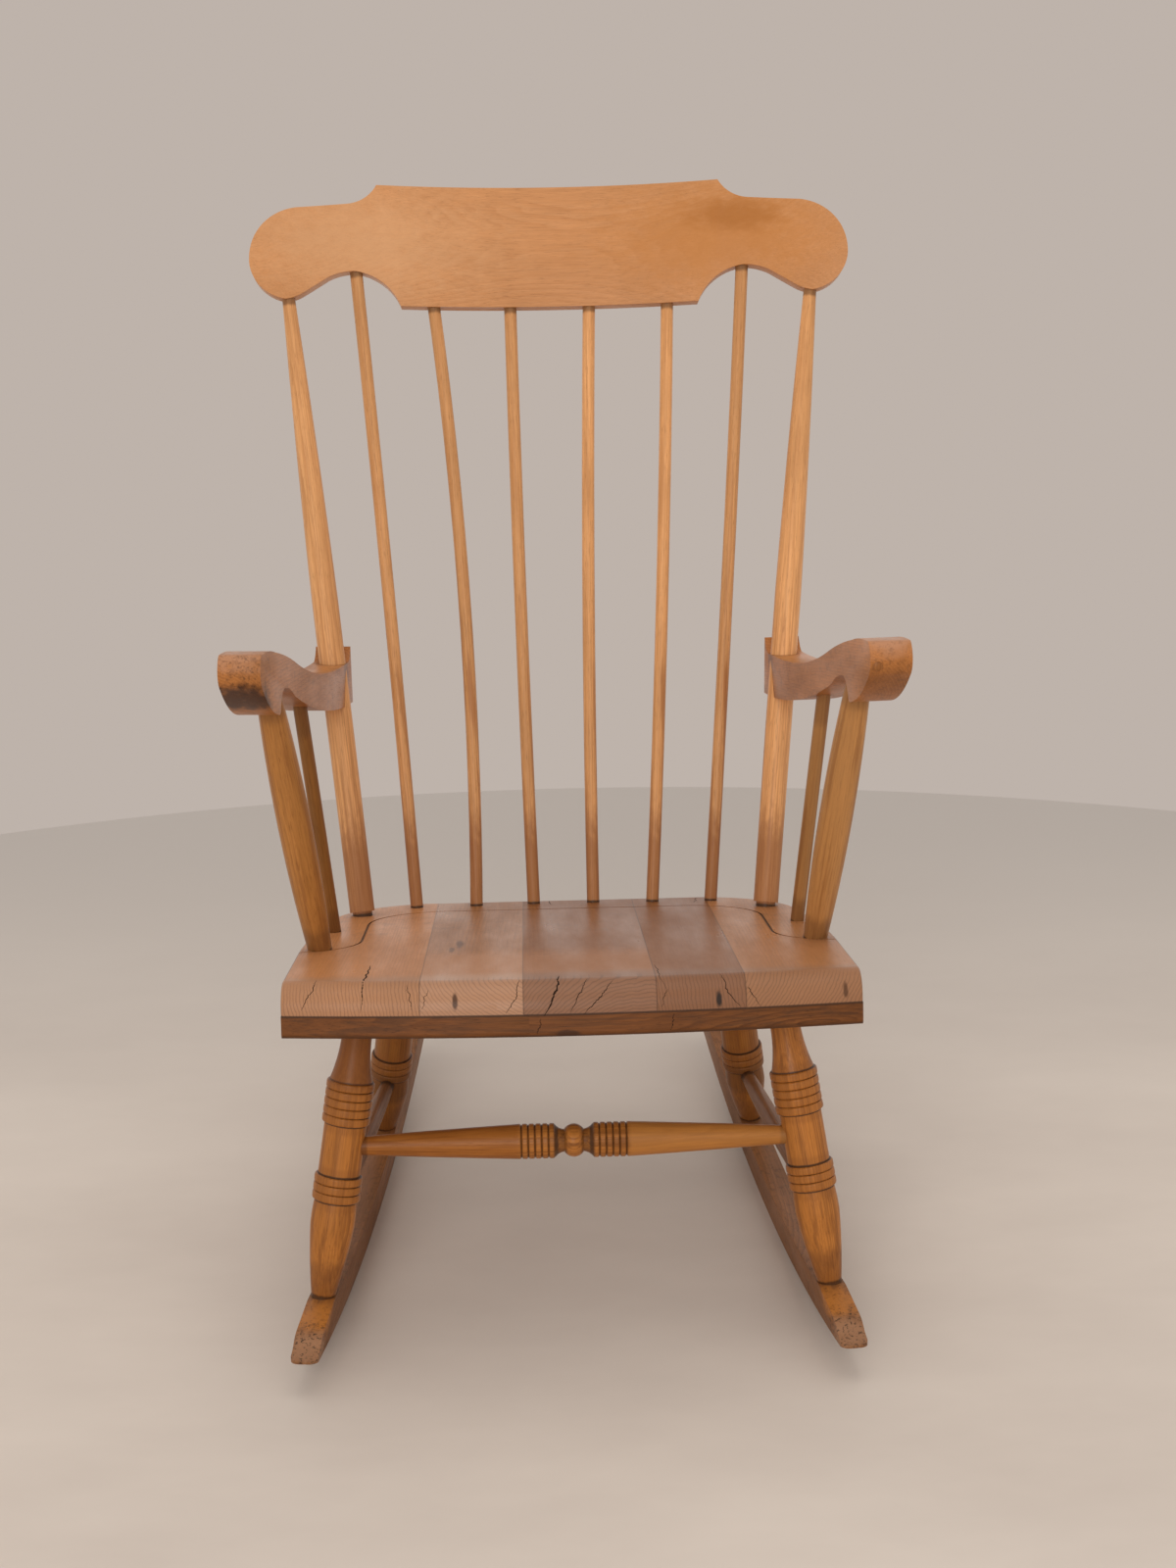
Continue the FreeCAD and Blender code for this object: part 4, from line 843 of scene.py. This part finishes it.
# %% The floor and the wall
def floor_material():
    make = Shader("pale_floor")
    place = make.add("TexCoord", "Object")
    clouds = make.noise(place, (1.6, 3.2, 1), detail=5, roughness=0.6)
    colour = make.ramp(clouds, [(0.3, (0.590, 0.505, 0.440)), (0.7, (0.680, 0.590, 0.515))])
    # Painted shade: the floor turns greyer towards the wall.
    far = make.fade(axis_place(make, place, "Y"), -0.2, 1.3)
    colour = make.mix(far, colour, (0.480, 0.425, 0.385))
    return make.finish(colour, 0.62, None, Specular_IOR_Level=0.25)


FLOOR_RADIUS = 2.54
FLOOR_CENTRE = Vector((0.03, -1.09, 0))
work = bmesh.new()
bmesh.ops.create_circle(work, cap_ends=True, segments=256, radius=FLOOR_RADIUS,
                        matrix=Matrix.Translation(FLOOR_CENTRE))
floor_mesh = bpy.data.meshes.new("floor")
work.to_mesh(floor_mesh)
work.free()
floor = bpy.data.objects.new("floor", floor_mesh)
bpy.context.scene.collection.objects.link(floor)
dress(floor, floor_material())

WALL = (0.515, 0.450, 0.405)
world = bpy.data.worlds.new("room")
bpy.context.scene.world = world
world.use_nodes = True
wires = world.node_tree
wires.nodes.clear()
glow = wires.nodes.new("ShaderNodeBackground")
glow.inputs["Color"].default_value = (1.0, 0.975, 0.945, 1)
glow.inputs["Strength"].default_value = 0.77
wall = wires.nodes.new("ShaderNodeBackground")
wall.inputs["Color"].default_value = (*WALL, 1)
ray = wires.nodes.new("ShaderNodeLightPath")
choose = wires.nodes.new("ShaderNodeMixShader")
sky = wires.nodes.new("ShaderNodeOutputWorld")
wires.links.new(ray.outputs["Is Camera Ray"], choose.inputs[0])
wires.links.new(glow.outputs[0], choose.inputs[1])
wires.links.new(wall.outputs[0], choose.inputs[2])
wires.links.new(choose.outputs[0], sky.inputs["Surface"])
print("floor radius:", FLOOR_RADIUS)

# %% [markdown]
# Two broad lamps do the rest, like the ceiling lights of a store room. One hangs over the chair and
# lays a soft shadow under the seat. The other stands high in front and lights the faces that the
# camera sees. Their strength is set so that a colour comes out about as bright as it is written.

# %% The lamps
def lamp(name, place, target, size, watts, tint):
    light = bpy.data.lights.new(name, "AREA")
    light.shape = "DISK"
    light.size = size
    light.energy = watts
    light.color = tint
    piece = bpy.data.objects.new(name, light)
    bpy.context.scene.collection.objects.link(piece)
    piece.location = place
    piece.rotation_euler = (Vector(target) - Vector(place)).to_track_quat("-Z", "Y").to_euler()
    print(name, watts, "watts")


lamp("ceiling_lamp", (0.1, -0.25, 3.1), (0, -0.05, 0.3), 2.2, 13.5, (1.0, 0.97, 0.93))
lamp("front_lamp", (-0.8, -4.2, 2.0), (0, 0, 0.45), 2.4, 57, (1.0, 0.98, 0.955))

# %% [markdown]
# The camera's place, direction and lens were worked out from the photo. It is a little over two
# metres in front of the chair's middle and looks down by some eighteen degrees.

# %% The camera
CAMERA_PLACE = Vector((-0.0342, -2.2672, 1.1880))
YAW, PITCH, ROLL = math.radians(-1.51), math.radians(17.62), math.radians(0.88)
LENS_PIXELS = 2350
LONG_SIDE = 1600
SENSOR = 36
level_ahead = Vector((-math.sin(YAW), math.cos(YAW), 0))
ahead = level_ahead * math.cos(PITCH) - Vector((0, 0, math.sin(PITCH)))
level = Vector((math.cos(YAW), math.sin(YAW), 0))
upward = level.cross(ahead)
right = level * math.cos(ROLL) - upward * math.sin(ROLL)
top = level * math.sin(ROLL) + upward * math.cos(ROLL)
camera_data = bpy.data.cameras.new("camera")
camera_data.sensor_width = SENSOR
camera_data.lens = LENS_PIXELS * SENSOR / LONG_SIDE
camera = bpy.data.objects.new("camera", camera_data)
bpy.context.scene.collection.objects.link(camera)
facing = Matrix((right, top, -ahead)).transposed().to_4x4()
camera.matrix_world = Matrix.Translation(CAMERA_PLACE) @ facing
bpy.context.scene.camera = camera
bpy.context.scene.view_settings.view_transform = "Standard"
print("lens:", round(camera_data.lens, 2))
